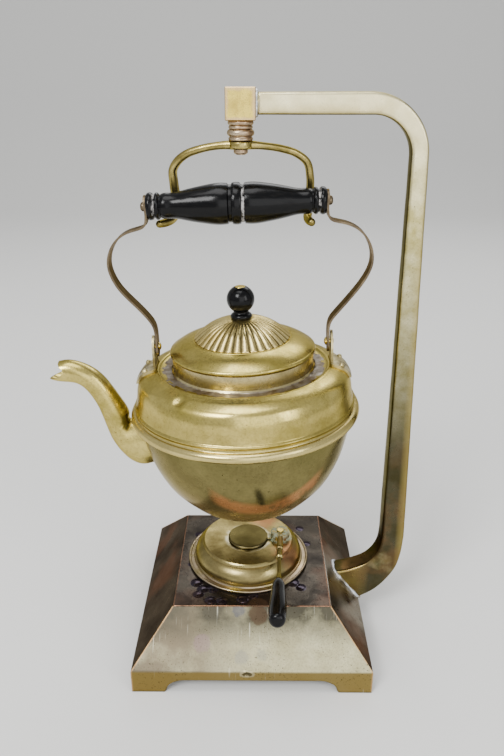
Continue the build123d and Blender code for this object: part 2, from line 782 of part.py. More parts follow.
# The pivot screw stands in the cover and the snuffer turns on it
with BuildPart() as pivot_screw:
    with Locations((pivot_x, pivot_y, lamp_top_z)):
        Cylinder(pivot_radius, boss_top + gap - lamp_top_z, align=(Align.CENTER, Align.CENTER, Align.MIN))
    with Locations((pivot_x, pivot_y, boss_top + gap)):
        Cylinder(2.3, 0.9, align=(Align.CENTER, Align.CENTER, Align.MIN))
    fillet(pivot_screw.edges().sort_by(Axis.Z)[-1], 0.35)
    with Locations((pivot_x, pivot_y, boss_top + gap + 0.9)):
        Box(0.6, 6, 0.8, mode=Mode.SUBTRACT)
save(pivot_screw.part, "pivot_screw")

with BuildPart() as snuffer_cap:
    with BuildSketch(Plane.XY.offset(cap_low)):
        with Locations((lamp_x, cap_y)):
            Circle(cap_radius)
    extrude(amount=cap_thick)
    fillet(snuffer_cap.edges().sort_by(Axis.Z)[-1], 0.8)
    with BuildSketch(Plane.XY.offset(cap_low)):
        with Locations(((lamp_x + pivot_x) / 2, (cap_y + pivot_y) / 2)):
            Rectangle(pivot_x - lamp_x - 6, 5.4)
    extrude(amount=cap_thick)
    with Locations((pivot_x, pivot_y, cap_low)):
        Cylinder(pivot_boss_radius, boss_top - cap_low, align=(Align.CENTER, Align.CENTER, Align.MIN))
    fillet(snuffer_cap.edges().group_by(Axis.Z)[-1], 0.7)
    with Locations((pivot_x, pivot_y, cap_low)):
        Cylinder(pivot_radius + running, 20, mode=Mode.SUBTRACT)

# The lever is turned: two barrels, a thin rod, a ferrule and a swelling grip
lever_start = pivot_boss_radius - 2.2
with BuildPart() as snuffer_lever:
    with BuildSketch(Plane.XZ) as lever_section:
        with BuildLine():
            Polyline(
                (0, lever_start),
                (1.9, lever_start),
                (2.1, 18.4),
                (2.3, 18.9),
                (2.1, 19.5),
                (1.45, 19.9),
                (1.5, 27.8),
                (2.1, 28.4),
                (2.1, 29.3),
                (1.2, 30.0),
                (1.2, ferrule_start),
                (0, ferrule_start),
                close=True,
            )
        make_face()
    revolve(axis=Axis.Z)
with BuildPart() as snuffer_ferrule:
    with BuildSketch(Plane.XZ) as ferrule_section:
        with BuildLine():
            Polyline(
                (0, ferrule_start),
                (1.25, ferrule_start),
                (1.9, grip_start - 1.6),
                (2.2, grip_start),
                (0, grip_start),
                close=True,
            )
        make_face()
    revolve(axis=Axis.Z)
with BuildPart() as snuffer_grip:
    with BuildSketch(Plane.XZ) as snuffer_grip_section:
        with BuildLine():
            Line((0, grip_start), (2.1, grip_start))
            Spline(
                (2.1, grip_start),
                (3.1, 56.5),
                (4.2, 66.0),
                (4.9, 76.0),
                (5.1, 85.0),
                (4.6, grip_end - 2.2),
            )
            ThreePointArc((4.6, grip_end - 2.2), (3.5, grip_end - 0.5), (1.5, grip_end))
            Polyline((1.5, grip_end), (0, grip_end), (0, grip_start))
        make_face()
    revolve(axis=Axis.Z)

with BuildPart() as fitted_lever:
    add(lever_place * snuffer_lever.part)
    add(snuffer_cap.part, mode=Mode.SUBTRACT)
for piece, label in (
    (snuffer_cap.part, "snuffer_cap"),
    (fitted_lever.part, "snuffer_lever"),
    (lever_place * snuffer_ferrule.part, "snuffer_ferrule"),
    (lever_place * snuffer_grip.part, "snuffer_grip"),
):
    save(piece, label)
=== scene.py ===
import bpy
import bmesh
import math
import numpy as np
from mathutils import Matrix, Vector


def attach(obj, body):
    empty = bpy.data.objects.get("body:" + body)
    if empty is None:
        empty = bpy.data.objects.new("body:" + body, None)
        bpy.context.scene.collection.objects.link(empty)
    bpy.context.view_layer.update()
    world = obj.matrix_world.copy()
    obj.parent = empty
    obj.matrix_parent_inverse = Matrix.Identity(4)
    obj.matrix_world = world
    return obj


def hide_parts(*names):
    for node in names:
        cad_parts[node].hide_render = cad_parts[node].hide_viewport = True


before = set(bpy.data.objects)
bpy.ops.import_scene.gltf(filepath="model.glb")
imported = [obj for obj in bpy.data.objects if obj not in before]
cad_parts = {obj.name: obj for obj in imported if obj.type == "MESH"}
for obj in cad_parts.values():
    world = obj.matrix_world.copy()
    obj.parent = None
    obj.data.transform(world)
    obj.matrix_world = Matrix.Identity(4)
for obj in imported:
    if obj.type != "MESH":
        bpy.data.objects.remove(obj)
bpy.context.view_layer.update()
print("frame loaded")


def srgb(hexText):
    # sRGB hex to linear RGBA
    parts = [int(hexText[i:i + 2], 16) / 255 for i in (1, 3, 5)]
    return [c / 12.92 if c <= 0.04045 else ((c + 0.055) / 1.055) ** 2.4 for c in parts] + [1.0]


def nodeAdder(tree):
    # gives add, which puts one node into the tree: its kind, its inputs in order or by name, its settings; an
    # input is a number, a hex colour or another node's output, and add gives back the output called out
    def add(kind, *inputs, out=0, **named):
        node = tree.nodes.new("ShaderNode" + kind)
        for key in [name for name in named if hasattr(node, name)]:
            setattr(node, key, named.pop(key))
        for key, value in [*enumerate(inputs), *named.items()]:
            socket = node.inputs[key] if isinstance(key, int) else next(
                s for s in node.inputs if s.enabled and key in (s.identifier, s.name.replace(" ", "")))
            if isinstance(value, bpy.types.NodeSocket):
                tree.links.new(value, socket)
            else:
                socket.default_value = srgb(value) if isinstance(value, str) else value
        return node.outputs[out] if node.outputs else None
    return add


def newMaterial(name):
    # an empty material, the function that adds its nodes, and the Object coordinates that its patterns lie on
    material = bpy.data.materials.new(name)
    material.use_nodes = True
    material.node_tree.nodes.clear()
    add = nodeAdder(material.node_tree)
    return material, add, add("TexCoord", out="Object")


# lens and sensor in mm, place in metres, tilt in degrees and turn in radians
view = {"lens": 32.5, "sensor": 36, "at": (0.00216, -0.3793, 0.3358), "tiltDeg": 67.13, "turn": 0.0065}
camera = bpy.data.objects.new("camera", bpy.data.cameras.new("camera"))
bpy.context.scene.collection.objects.link(camera)
camera.data.sensor_width = view["sensor"]
camera.data.lens = view["lens"]
camera.data.clip_start = 0.01
camera.location = view["at"]
camera.rotation_euler = (math.radians(view["tiltDeg"]), 0, view["turn"])
bpy.context.scene.camera = camera


# shapes worked out as numpy grids

def gridFaces(points, closeColumns, closeRows, start):
    # one quad between each four neighbours of a rows x columns grid of points
    rows, columns = points.shape[:2]
    r = np.arange(rows if closeRows else rows - 1)[:, None]
    c = np.arange(columns if closeColumns else columns - 1)[None, :]
    below, beside = (r + 1) % rows, (c + 1) % columns
    corners = [r * columns + c, r * columns + beside, below * columns + beside, below * columns + c]
    corners = [np.broadcast_to(corner, (r.shape[0], c.shape[1])) for corner in corners]
    return start + np.stack(corners, -1).reshape(-1, 4)


def gridMesh(name, grids, closeColumns=True, closeRows=False):
    # grids of points skinned with quads; merging doubles closes their poles and seams
    grids = grids if isinstance(grids, list) else [grids]
    starts = np.cumsum([0] + [g.shape[0] * g.shape[1] for g in grids])
    faces = np.concatenate([gridFaces(g, closeColumns, closeRows, n) for g, n in zip(grids, starts)])
    mesh = bpy.data.meshes.new(name)
    mesh.from_pydata(np.concatenate([g.reshape(-1, 3) for g in grids]).tolist(), [], faces.tolist())
    edit = bmesh.new()
    edit.from_mesh(mesh)
    bmesh.ops.remove_doubles(edit, verts=edit.verts, dist=1e-7)
    bmesh.ops.recalc_face_normals(edit, faces=edit.faces)
    edit.to_mesh(mesh)
    edit.free()
    mesh.polygons.foreach_set("use_smooth", [True] * len(mesh.polygons))
    thing = bpy.data.objects.new(name, mesh)
    bpy.context.scene.collection.objects.link(thing)
    return thing


def place(thing, material, body, slot, *hides):
    # give a made piece its finish, parent it to its body and hide the nodes it stands for; its slot is not
    # used
    thing.data.materials.append(material)
    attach(thing, body)
    if hides:
        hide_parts(*hides)
    print(thing.name, "made")


def smoothRun(points, steps):
    # cubic Hermite through the points, with slopes from their neighbours, even in chord length
    points = np.array(points, float)
    along = np.concatenate([[0], np.cumsum(np.linalg.norm(np.diff(points, axis=0), axis=1))])
    slope = np.gradient(points, along, axis=0)
    t = np.linspace(0, along[-1], steps)
    i = np.clip(np.searchsorted(along, t, side="right") - 1, 0, len(along) - 2)
    span = (along[i + 1] - along[i])[:, None]
    u = (t - along[i])[:, None] / span
    return ((2 * u ** 3 - 3 * u ** 2 + 1) * points[i] + (u ** 3 - 2 * u ** 2 + u) * span * slope[i]
            + (3 * u ** 2 - 2 * u ** 3) * points[i + 1] + (u ** 3 - u ** 2) * span * slope[i + 1])


def arc(centre, radius, start, end, steps):
    # points of a circle from one angle to another, in degrees
    turn = np.radians(np.linspace(start, end, steps))
    return np.stack([centre[0] + radius * np.cos(turn), centre[1] + radius * np.sin(turn)], 1)


def lumps(points, sizeMm, seed):
    # smooth noise of about -1 to 1: the sum of sixteen plane waves of random heading and phase, about sizeMm
    # from crest to crest
    pick = np.random.default_rng(seed)
    heading = pick.normal(size=(16, 3))
    heading /= np.linalg.norm(heading, axis=1)[:, None]
    heading *= 2 * math.pi / sizeMm * pick.uniform(0.6, 1.5, (16, 1))
    return np.sin(points @ heading.T + pick.uniform(0, 2 * math.pi, 16)).sum(-1) / 5.0


def turned(profile, columns):
    # (radius, height) profile turned about the upright axis: x = r cos, y = r sin
    turn = np.linspace(0, 2 * math.pi, columns, endpoint=False)
    r, h = profile[:, :1], profile[:, 1:]
    return np.stack([r * np.cos(turn), r * np.sin(turn), np.broadcast_to(h, (len(profile), columns))], -1)


def rod(path, radii, sides):
    # round bar along a path: rings square to the run, carried along without twist, its ends half balls
    path, radii = np.array(path, float), np.array(radii, float)
    ahead = np.gradient(path, axis=0)
    ahead /= np.linalg.norm(ahead, axis=1)[:, None]
    across = np.zeros_like(path)
    across[0] = np.cross(ahead[0], (0.0, 0.0, 1.0) if abs(ahead[0][2]) < 0.9 else (0.0, 1.0, 0.0))
    for i in range(len(path)):
        across[i] = across[i] if i == 0 else across[i - 1]
        across[i] -= ahead[i] * (across[i] @ ahead[i])
        across[i] /= np.linalg.norm(across[i])
    turn = np.linspace(0, 2 * math.pi, sides, endpoint=False)[None, :, None]
    up = np.cross(ahead, across)
    rings = across[:, None] * np.cos(turn) + up[:, None] * np.sin(turn)
    grid = path[:, None] + rings * radii[:, None, None]
    shut = np.linspace(0, math.pi / 2, 8)[1:, None, None]
    caps = [path[end] + rings[end] * radii[end] * np.cos(shut) + ahead[end] * way * radii[end] * np.sin(shut)
            for end, way in ((0, -1), (-1, 1))]
    return np.concatenate([caps[0][::-1], grid, caps[1]])


kettle = {"foot": (-2.08, 90.0), "lean": 2.03}  # x and z of its foot in mm, and degrees out of upright


def hang(points):
    # the kettle's own upright frame in mm, leant and set on its hooks, in metres
    lean = math.radians(kettle["lean"])
    x, y, h = points[..., 0], points[..., 1], points[..., 2]
    return np.stack([kettle["foot"][0] + x * math.cos(lean) - h * math.sin(lean), y,
                     kettle["foot"][1] + x * math.sin(lean) + h * math.cos(lean)], -1) / 1000


# colours and finish of paper and backdrop, strength of plain light, the paper's sweep in metres, the lamps
studio = {
    "paper": "#dcdcda", "matt": 0.9, "backdrop": "#dfe1e3", "light": 0.7, "front": -3.0, "bendAt": 1.6,
    "bendRadius": 1.2, "height": 4.0, "width": 5.0, "drop": 0.0003,
    # place, what it is aimed at, size and watts
    "lamps": {"keyLight": ((-0.75, -1.1, 1.3), (0, 0, 0.15), (0.6, 0.6), 26),
              "topLight": ((-0.15, -0.25, 1.7), (0, 0, 0.15), (0.8, 0.8), 11),
              "frontLight": ((0.3, -1.5, 0.55), (0, 0, 0.2), (1.1, 1.1), 8),
              "fillLight": ((1.0, -1.0, 0.7), (0, 0, 0.15), (0.4, 0.9), 7),
              "backLight": ((0.3, 1.2, 1.3), (0, 0, 0.2), (1.2, 0.6), 9)}}


def paperSweep(look):
    # flat paper, then a quarter circle upwards behind the object, then straight up
    turn = np.linspace(0, math.pi / 2, 24)
    far, radius = look["bendAt"], look["bendRadius"]
    bend = np.stack([far + radius * np.sin(turn), radius * (1 - np.cos(turn))], 1)
    side = np.concatenate([[[look["front"], 0.0]], bend, [[far + radius, look["height"]]]])
    across = np.array([-look["width"], look["width"]])[None, :]
    grid = np.stack(np.broadcast_arrays(across, side[:, :1], side[:, 1:] - look["drop"]), -1)
    sweep = gridMesh("paperSweep", grid, closeColumns=False)
    # matt seamless paper: even, pale and without shine
    material, add = newMaterial("seamlessPaperMatt")[:2]
    add("OutputMaterial", add("BsdfPrincipled", BaseColor=look["paper"], Roughness=look["matt"]))
    sweep.data.materials.append(material)


def paleWorld(look):
    # what the camera, metal and glass see is the backdrop, and the object is lit by plain white
    world = bpy.data.worlds.new("studio")
    bpy.context.scene.world = world
    world.use_nodes = True
    world.node_tree.nodes.clear()
    add = nodeAdder(world.node_tree)
    seen = add("LightPath", out="Is Camera Ray")
    for ray in ("Is Glossy Ray", "Is Transmission Ray"):
        seen = add("Math", seen, add("LightPath", out=ray), operation="MAXIMUM")
    lighting = add("Background", "#ffffff", look["light"])
    add("OutputWorld", add("MixShader", seen, lighting, add("Background", look["backdrop"], 1.0)))


def softLight(name, at, target, size, power):
    # rectangular soft box, turned to face its target
    box = bpy.data.lights.new(name, "AREA")
    box.shape = "RECTANGLE"
    box.size, box.size_y = size
    box.energy = power
    stand = bpy.data.objects.new(name, box)
    bpy.context.scene.collection.objects.link(stand)
    stand.location = at
    stand.rotation_euler = (Vector(target) - Vector(at)).to_track_quat("-Z", "Y").to_euler()


paperSweep(studio)
paleWorld(studio)
for name, lamp in studio["lamps"].items():
    softLight(name, *lamp)
print("studio made")


# patterns that the finishes are laid out with, in mm on Object coordinates

def mottle(add, where, sizeMm, detail=4.0, rough=0.55, stretch=None):
    # cloudy pattern with blotches about sizeMm across, longer along an axis whose stretch is small
    if stretch:
        where = add("Mapping", where, Scale=stretch)
    return add("TexNoise", where, Scale=1000 / sizeMm, Detail=detail, Roughness=rough)


def times(add, first, *others):
    # the product of all; of masks, the place where they all meet
    for other in others:
        first = add("Math", first, other, operation="MULTIPLY")
    return first


def tint(add, colour, mask, share, other):
    # the other colour laid over the first where mask is 1, as thick as share
    share = times(add, mask, share)
    return add("Mix", data_type="RGBA", out=2, Factor_Float=share, A_Color=colour, B_Color=other)


def upright(add, where):
    # world place to the kettle's own frame: turned upright and moved back to its foot
    lean, (x, z) = math.radians(kettle["lean"]), kettle["foot"]
    footX, footZ = x * math.cos(lean) + z * math.sin(lean), z * math.cos(lean) - x * math.sin(lean)
    return add("Mapping", where, Rotation=(0, lean, 0), Location=(-footX / 1000, 0, -footZ / 1000))


def spot(add, where, centreMm, radiusMm, softMm, wobbleMm=0.0):
    # 1 inside radiusMm of a point, fading to 0 over softMm, its edge pushed about by up to wobbleMm
    away = add("VectorMath", where, tuple(v / 1000 for v in centreMm), operation="DISTANCE", out="Value")
    if wobbleMm:
        push = add("Math", mottle(add, where, radiusMm * 0.8, 4.0, 0.6), 0.5, operation="SUBTRACT")
        away = add("Math", push, wobbleMm / 500, away, operation="MULTIPLY_ADD")
    return add("MapRange", away, (radiusMm + softMm) / 1000, radiusMm / 1000)


def between(add, value, lowMm, highMm, softMm):
    # 1 where value lies between two places, fading over softMm outside them
    rise = add("MapRange", value, (lowMm - softMm) / 1000, lowMm / 1000)
    fall = add("MapRange", value, (highMm + softMm) / 1000, highMm / 1000)
    return times(add, rise, fall)


def patches(add, where, sizeMm, share, stretch=(1, 1, 1)):
    # hard-edged clouds that cover about the given share
    middle = 0.62 - 0.24 * share
    return add("MapRange", mottle(add, where, sizeMm, 5.0, 0.6, stretch), middle - 0.05, middle + 0.06)


def worn(add, where, sizeMm, low=0.3, high=0.5):
    # soft mottle that breaks up a mask: 0 under low and 1 over high
    return add("MapRange", mottle(add, where, sizeMm), low, high)


def agedBrass(name, look, marks=None):
    # old brass: a clean warm yellow under a thin olive-brown tarnish in soft clouds, with small dark
    # specks, and a satin that is duller where the tarnish is thicker; the marks are the piece's own
    material, add, where = newMaterial(name)
    clouds = add("MapRange", mottle(add, where, look["cloudMm"], 5.0, 0.6), 0.36, 0.66)
    fine = mottle(add, where, look["grainMm"], 3.0, 0.6)
    colour = tint(add, look["clean"], clouds, 1, look["tarnish"])
    colour = tint(add, colour, add("MapRange", fine, 0.45, 0.75), look["grain"], look["stain"])
    specks = mottle(add, where, look["speckMm"], 2.0, 0.5)
    specks = add("MapRange", specks, look["speckFrom"], look["speckFrom"] + 0.04)
    specks = times(add, specks, add("MapRange", mottle(add, where, 22, 3.0), 0.42, 0.58, 0.15, 1.0))
    rough, metal = add("MapRange", clouds, 0.0, 1.0, *look["rough"]), 1.0
    if marks:
        colour, rough, metal = marks(add, look, where, colour, rough)
    colour = tint(add, colour, specks, look["speck"], look["stain"])
    rough = add("Math", specks, 0.12, rough, operation="MULTIPLY_ADD")
    height = times(add, mottle(add, where, look["waveMm"], 2.0, 0.4), look["wave"])
    height = add("Math", fine, look["grainHigh"], height, operation="MULTIPLY_ADD")
    height = add("Math", specks, -look["speckDeep"], height, operation="MULTIPLY_ADD")
    if "spun" in look:
        # turning marks: rings round the leaning axis, about 1 mm apart
        rings = add("Mapping", upright(add, where), Scale=(0.02, 0.02, 1.0))
        rings = add("TexNoise", rings, Scale=900.0, Detail=2.0, Roughness=0.5)
        height = add("Math", rings, look["spun"], height, operation="MULTIPLY_ADD")
    # the specular tint is the tarnish's colour at a glancing angle
    add("OutputMaterial", add("BsdfPrincipled", BaseColor=colour, Roughness=rough, Metallic=metal,
                              SpecularTint=look["edge"],
                              Normal=add("Bump", Height=height, Strength=1.0, Distance=1.0)))
    return material


def dress(material, *names):
    # gives the CAD pieces their finish
    for name in names:
        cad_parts[name].data.materials.clear()
        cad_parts[name].data.materials.append(material)
    print(material.name, "on", *names)


# the kettle: each look has colours on a clean spot, under tarnish, in a stain and at a glancing angle; sizes
# in mm; strengths of grain and specks; roughness clean and tarnished; heights in metres; then the share and
# colour of the piece's own marks

kettleLook = {"clean": "#d0be70", "tarnish": "#a1924a", "stain": "#5a4a28", "edge": "#eae0c0",
              "cloudMm": 26, "grainMm": 1.4, "grain": 0.35, "speckMm": 1.8, "speckFrom": 0.69, "speck": 0.6,
              "speckDeep": 0.00003, "rough": (0.20, 0.32), "waveMm": 18, "wave": 0.00010,
              "grainHigh": 0.000010, "spun": 0.000005}
# the collar's brass is duller and greyer; the bowl's is painted darker, a painted dark reflection on the
# kettle's lower half
collarLook = {**kettleLook, "clean": "#cdbf90", "tarnish": "#a5976a"}
bowlLook = {**kettleLook, "clean": "#847a4e", "tarnish": "#645b38", "stain": "#3d371a", "edge": "#f0e8d0",
            "smoke": (0.55, "#5c5930"), "brown": (0.55, "#a08048"), "flush": (0.62, "#bd7946")}
# the bead's paler, pinkish colour is a painted highlight
shoulderLook = {**kettleLook, "dull": (0.2, "#6f5f30"), "bead": (0.35, "#dccb94")}
# radius and height in mm in the kettle's own frame; beads and ridge as middle, radius, two angles and steps
shoulder = {
    "low": (63.4, 64.7), "bead": ((66.15, 67.75), 2.95, -116, 92, 26), "waist": (65.75, 71.8),
    "fineBead": ((65.55, 73.62), 0.85, -62, 78, 9), "ridge": ((50.95, 94.55), 1.35, 50, 165, 10),
    "curve": ((65.4, 74.5), (64.5, 80.1), (63.6, 86.1), (61.6, 90.8), (57.0, 94.0), (52.6, 95.5)),
    "recess": ((49.2, 94.7), (48.4, 94.35), (45.0, 94.28), (41.6, 94.25)),
    "dent": (-34.0, -48.0, 93.2), "dentRadius": 4.6, "dentDepth": 1.4, "lipHigh": 0.10, "uneven": 0.10}


def bowlShadeAndReflections(add, look, where, colour, rough):
    # painted shade, green-black, under the bead, and painted reflections of the brass base below: browner low
    # down, with a copper-red crescent across the front
    high = add("SeparateXYZ", where, out="Z")
    # painted shade: green-black just under the bead, fading downwards, broken up in clouds
    smoke = times(add, add("MapRange", high, 0.118, 0.156), worn(add, where, 30, 0.25, 0.6))
    colour = tint(add, colour, smoke, *look["smoke"])
    # the painted reflection follows z = 0.114 + 14 (x - 0.005)^2 in metres, a crescent across the front
    off = add("Math", add("SeparateXYZ", where, out="X"), -0.005, operation="ADD")
    low = add("Math", high, times(add, off, off, -14.0), operation="ADD")
    flush = times(add, between(add, low, 114, 120, 4), between(add, off, -24, 30, 6),
                  add("MapRange", add("SeparateXYZ", where, out="Y"), -0.015, -0.028),
                  add("MapRange", mottle(add, where, 14, 4.0, 0.6), 0.38, 0.50))
    # painted reflection of the base below: browner and less metallic low down
    brown = add("MapRange", high, 0.126, 0.106)
    colour = tint(add, colour, brown, *look["brown"])
    metal = add("Math", flush, -0.2, add("MapRange", brown, 0.0, 1.0, 1.0, 0.6), operation="MULTIPLY_ADD")
    return tint(add, colour, flush, *look["flush"]), rough, metal


def shoulderBandAndHighlight(add, look, where, colour, rough):
    # bead painted paler and a little pink, a painted highlight; the shoulder just above it duller
    high = add("SeparateXYZ", upright(add, where), out="Z")
    colour = tint(add, colour, between(add, high, 71, 80, 6), *look["dull"])
    return tint(add, colour, between(add, high, 64.8, 70.9, 0.8), *look["bead"]), rough, 1.0


def shoulderSkin(look):
    # turned skin with a struck dent and the unevenness of hand work
    bead, fine, ridge = (arc(*look[name]) for name in ("bead", "fineBead", "ridge"))
    waist = smoothRun([bead[-1] + (-0.05, 0.12), look["waist"], fine[0]], 6)[1:-1]
    profile = [[look["low"]], bead, waist, fine, smoothRun(look["curve"], 74)[1:], ridge, look["recess"]]
    points = turned(np.concatenate(profile), 520)
    # unevenness, a few hundredths of a millimetre, only on the plain part above the fine bead
    free = np.clip((points[..., 2] - 75.5) / 4, 0, 1) * np.clip((95.0 - points[..., 2]) / 2, 0, 1)
    out = points / np.linalg.norm(points * (1, 1, 0), axis=-1, keepdims=True)
    points = points + out * (1, 1, 0) * (lumps(points, 24, 3) * look["uneven"] * free)[..., None]
    # dent: half a cosine wave dentDepth deep, with a slight raised lip round it
    away = np.linalg.norm(points - look["dent"], axis=-1) / look["dentRadius"]
    hollow = np.where(away < 1, 0.5 + 0.5 * np.cos(math.pi * np.clip(away, 0, 1)), 0)
    lip = np.exp(-((away - 1.25) / 0.3) ** 2)
    inward = np.array(look["dent"]) * (-1, -1, -0.9) / np.linalg.norm(look["dent"])
    points = points + inward * (look["dentDepth"] * hollow - look["lipHigh"] * lip)[..., None]
    return hang(points)


spunBrass = agedBrass("spunBrassAgedSatin", kettleLook)
dress(spunBrass, "spout", "lid_plate", "lid_dome", "lid_flange")
dress(agedBrass("spunBrassCollarDull", collarLook), "neck_collar")
# the bowl: darker brass, painted shade under the bead and painted reflections of the base
dress(agedBrass("spunBrassShadedBowl", bowlLook, bowlShadeAndReflections), "kettle_bowl")
shoulderBrass = agedBrass("spunBrassBeadHighlight", shoulderLook, shoulderBandAndHighlight)
dress(shoulderBrass, "kettle_shoulder")
skin = gridMesh("shoulderSkin", shoulderSkin(shoulder))
place(skin, shoulderBrass, "kettle", "kettle_brass", "kettle_shoulder")


# the lid's dome, stamped with round-topped reeds

# brighter brass for the reeds, a painted highlight on their crests; the dark olive of the valleys is painted
# shade
reedLook = {**kettleLook, "clean": "#efdc9a", "tarnish": "#c2ab66", "grime": (0.9, "#4a3f20")}
# radius and height in mm in the kettle's own frame; depth of the valleys at shares of the way from rim to top
dome = {"reeds": 36, "rimZ": 112.35, "hub": (1.6, 123.9),
        "crown": ((28.3, 113.1), (24.4, 116.4), (18.6, 120.3), (12.0, 122.8), (6.1, 123.9)),
        "depthAt": (0, 0.06, 0.5, 0.85, 0.97, 1.0), "depth": (1.0, 1.15, 0.85, 0.42, 0.0, 0.0)}


def reedValleyShade(add, look, where, colour, rough):
    # painted shade: dark olive in the valleys between the reeds, whose crests keep the brighter brass as a
    # painted highlight
    here = upright(add, where)
    x, y, high = (add("SeparateXYZ", here, out=axis) for axis in "XYZ")
    wave = times(add, add("Math", y, x, operation="ARCTAN2"), dome["reeds"] / 2)
    wave = add("Math", add("Math", wave, operation="SINE"), operation="ABSOLUTE")
    valley = times(add, add("MapRange", wave, 0.55, 0.2), between(add, high, 112.0, 122.6, 0.6))
    return tint(add, colour, valley, *look["grime"]), rough, 1.0


def reededDome(look):
    # rings from rim to top, each reed |sin(reeds / 2 x turn)| high, which is round on top and sharp between
    crown = smoothRun(look["crown"], 60)
    turn = np.linspace(0, 2 * math.pi, look["reeds"] * 24, endpoint=False)
    reed = np.abs(np.sin(look["reeds"] / 2 * turn)) ** 0.8
    depth = np.interp(np.linspace(0, 1, len(crown)), look["depthAt"], look["depth"])
    radius = crown[:, :1] + 0 * turn
    height = crown[:, 1:] - depth[:, None] * (1 - reed[None, :])
    # lower edge: small scallops between the reeds, then down to the plate
    radius[0] -= 0.5 * (1 - reed)
    rows = np.stack([radius * np.cos(turn), radius * np.sin(turn), height], -1)
    foot = rows[0].copy()
    foot[:, 2] = look["rimZ"]
    hub = turned(np.array([look["hub"]]), len(turn))
    return hang(np.concatenate([foot[None], rows, hub]))


reededBrass = agedBrass("stampedBrassReeded", reedLook, reedValleyShade)
place(gridMesh("reededDome", reededDome(dome)), reededBrass, "lid", "lid_brass", "lid_dome")


# the base's top plate, blistered by the flame

baseLook = {"clean": "#c6c09c", "tarnish": "#a39c78", "stain": "#332a1c", "edge": "#dcd8c4", "cloudMm": 30,
            "grainMm": 1.1, "grain": 0.3, "speckMm": 0.9, "speckFrom": 0.645, "speck": 0.9,
            "speckDeep": 0.00003, "rough": (0.28, 0.42), "waveMm": 26, "wave": 0.00010,
            "grainHigh": 0.000012, "seam": (0.8, "#c09a6c")}
plateLook = {**baseLook, "clean": "#454039", "tarnish": "#2e2b28", "stain": "#171412", "edge": "#a8a098",
             "cloudMm": 16, "rough": (0.20, 0.34), "blister": (0.8, "#38323e"), "brown": (0.2, "#5f4132"),
             "rubbed": (0.85, "#b98a6c"), "scorch": (0.75, "#675343"), "scorchAt": (3.8, -47.5, 44.6)}
topPlate = {
    "half": 48.5, "top": 44.6, "low": 43.5, "hole": 32.5, "holeAt": (-2.9, 1.5), "edge": 0.5, "uneven": 0.09,
    # x, y, radius and height of each blister
    "blisters": ((-35.6, -27.2, 3.7, 0.8), (-31.1, -33.1, 3.5, 0.7), (-25.1, -32.6, 3.7, 0.7),
                 (-33.6, -38.0, 3.2, 0.6), (-25.6, -43.6, 3.5, 0.7), (-18.9, -44.4, 3.1, 0.6),
                 (-5.7, -42.4, 4.0, 0.8), (0.6, -39.2, 3.1, 0.6), (26.2, -26.6, 3.9, 0.8),
                 (31.0, -31.2, 3.1, 0.6), (-37.6, 24.4, 2.8, 0.5), (37.4, 14.2, 2.4, 0.4),
                 (33.6, 31.7, 2.6, 0.4), (-40.4, -8.6, 2.2, 0.3))}


def squareXY(add, where):
    # how far out along x and along y, whichever side
    return [add("Math", add("SeparateXYZ", where, out=axis), operation="ABSOLUTE") for axis in "XY"]


def plateHeat(add, look, where, colour, rough):
    # baked brown-black by the flame, its blisters blued, and its edges worn copper-pink
    blistered = 0.0
    for x, y, size, rise in topPlate["blisters"]:
        blistered = add("Math", blistered, spot(add, where, (x, y, 44.7), size, 0.7), operation="MAXIMUM")
    colour = tint(add, colour, blistered, *look["blister"])
    rough = add("Math", blistered, -0.12, rough, operation="MULTIPLY_ADD")
    colour = tint(add, colour, add("MapRange", mottle(add, where, 26, 3.0), 0.5, 0.65), *look["brown"])
    edge = add("MapRange", add("Math", *squareXY(add, where), operation="MAXIMUM"), 0.0476, 0.0483)
    colour = tint(add, colour, times(add, edge, worn(add, where, 7)), *look["rubbed"])
    return tint(add, colour, spot(add, where, look["scorchAt"], 5.6, 1.2, 1.5), *look["scorch"]), rough, 0.85


def blisteredPlate(look):
    # rings from the round hole out to the square edge, then over the edge and down
    turn = np.linspace(0, 2 * math.pi, 480, endpoint=False)
    ray = np.stack([np.cos(turn), np.sin(turn)], 1)
    at = np.array(look["holeAt"])
    # distance from the hole's centre to the square along each ray
    reach = (look["half"] - look["edge"] - at * np.sign(ray)) / np.maximum(np.abs(ray), 1e-6)
    radius = look["hole"] + (np.min(reach, axis=1)[None, :] - look["hole"]) * np.linspace(0, 1, 66)[:, None]
    flat = at + ray[None] * radius[..., None]
    high = np.full(flat.shape[:2], look["top"])
    for x, y, size, rise in look["blisters"]:
        away = np.linalg.norm(flat - (x, y), axis=-1) / size
        high += rise * np.sqrt(np.clip(1 - away ** 2, 0, 1)) * np.clip((1 - away) * 4, 0, 1)
    free = np.clip((look["half"] - np.abs(flat).max(-1)) / 4, 0, 1)
    high += look["uneven"] * lumps(np.concatenate([flat, 0 * flat[..., :1]], -1), 22, 5) * free
    deck = np.concatenate([flat, high[..., None]], -1)
    # over the rounded edge to the plate's outer side, and inside the hole down to its lower face
    out = np.clip(flat[-1] * look["half"] / (look["half"] - look["edge"]), -look["half"], look["half"])
    rings = ((out, look["top"] - look["edge"]), (flat[-1] + (out - flat[-1]) * 0.7, look["top"] - 0.15),
             (flat[0], look["low"]))
    side, lip, inside = (np.insert(ring, 2, z, axis=1)[None] for ring, z in rings)
    return np.concatenate([side, lip, deck[::-1], inside]) / 1000


plateBrass = agedBrass("rolledSheetBrassBaked", plateLook, plateHeat)
dress(plateBrass, "base_top_plate")
skin = gridMesh("blisteredPlate", blisteredPlate(topPlate))
place(skin, plateBrass, "stand", "base_brass", "base_top_plate")


# the base's four panels: bent sheet with rounded bend, worn seams and a shallow arch

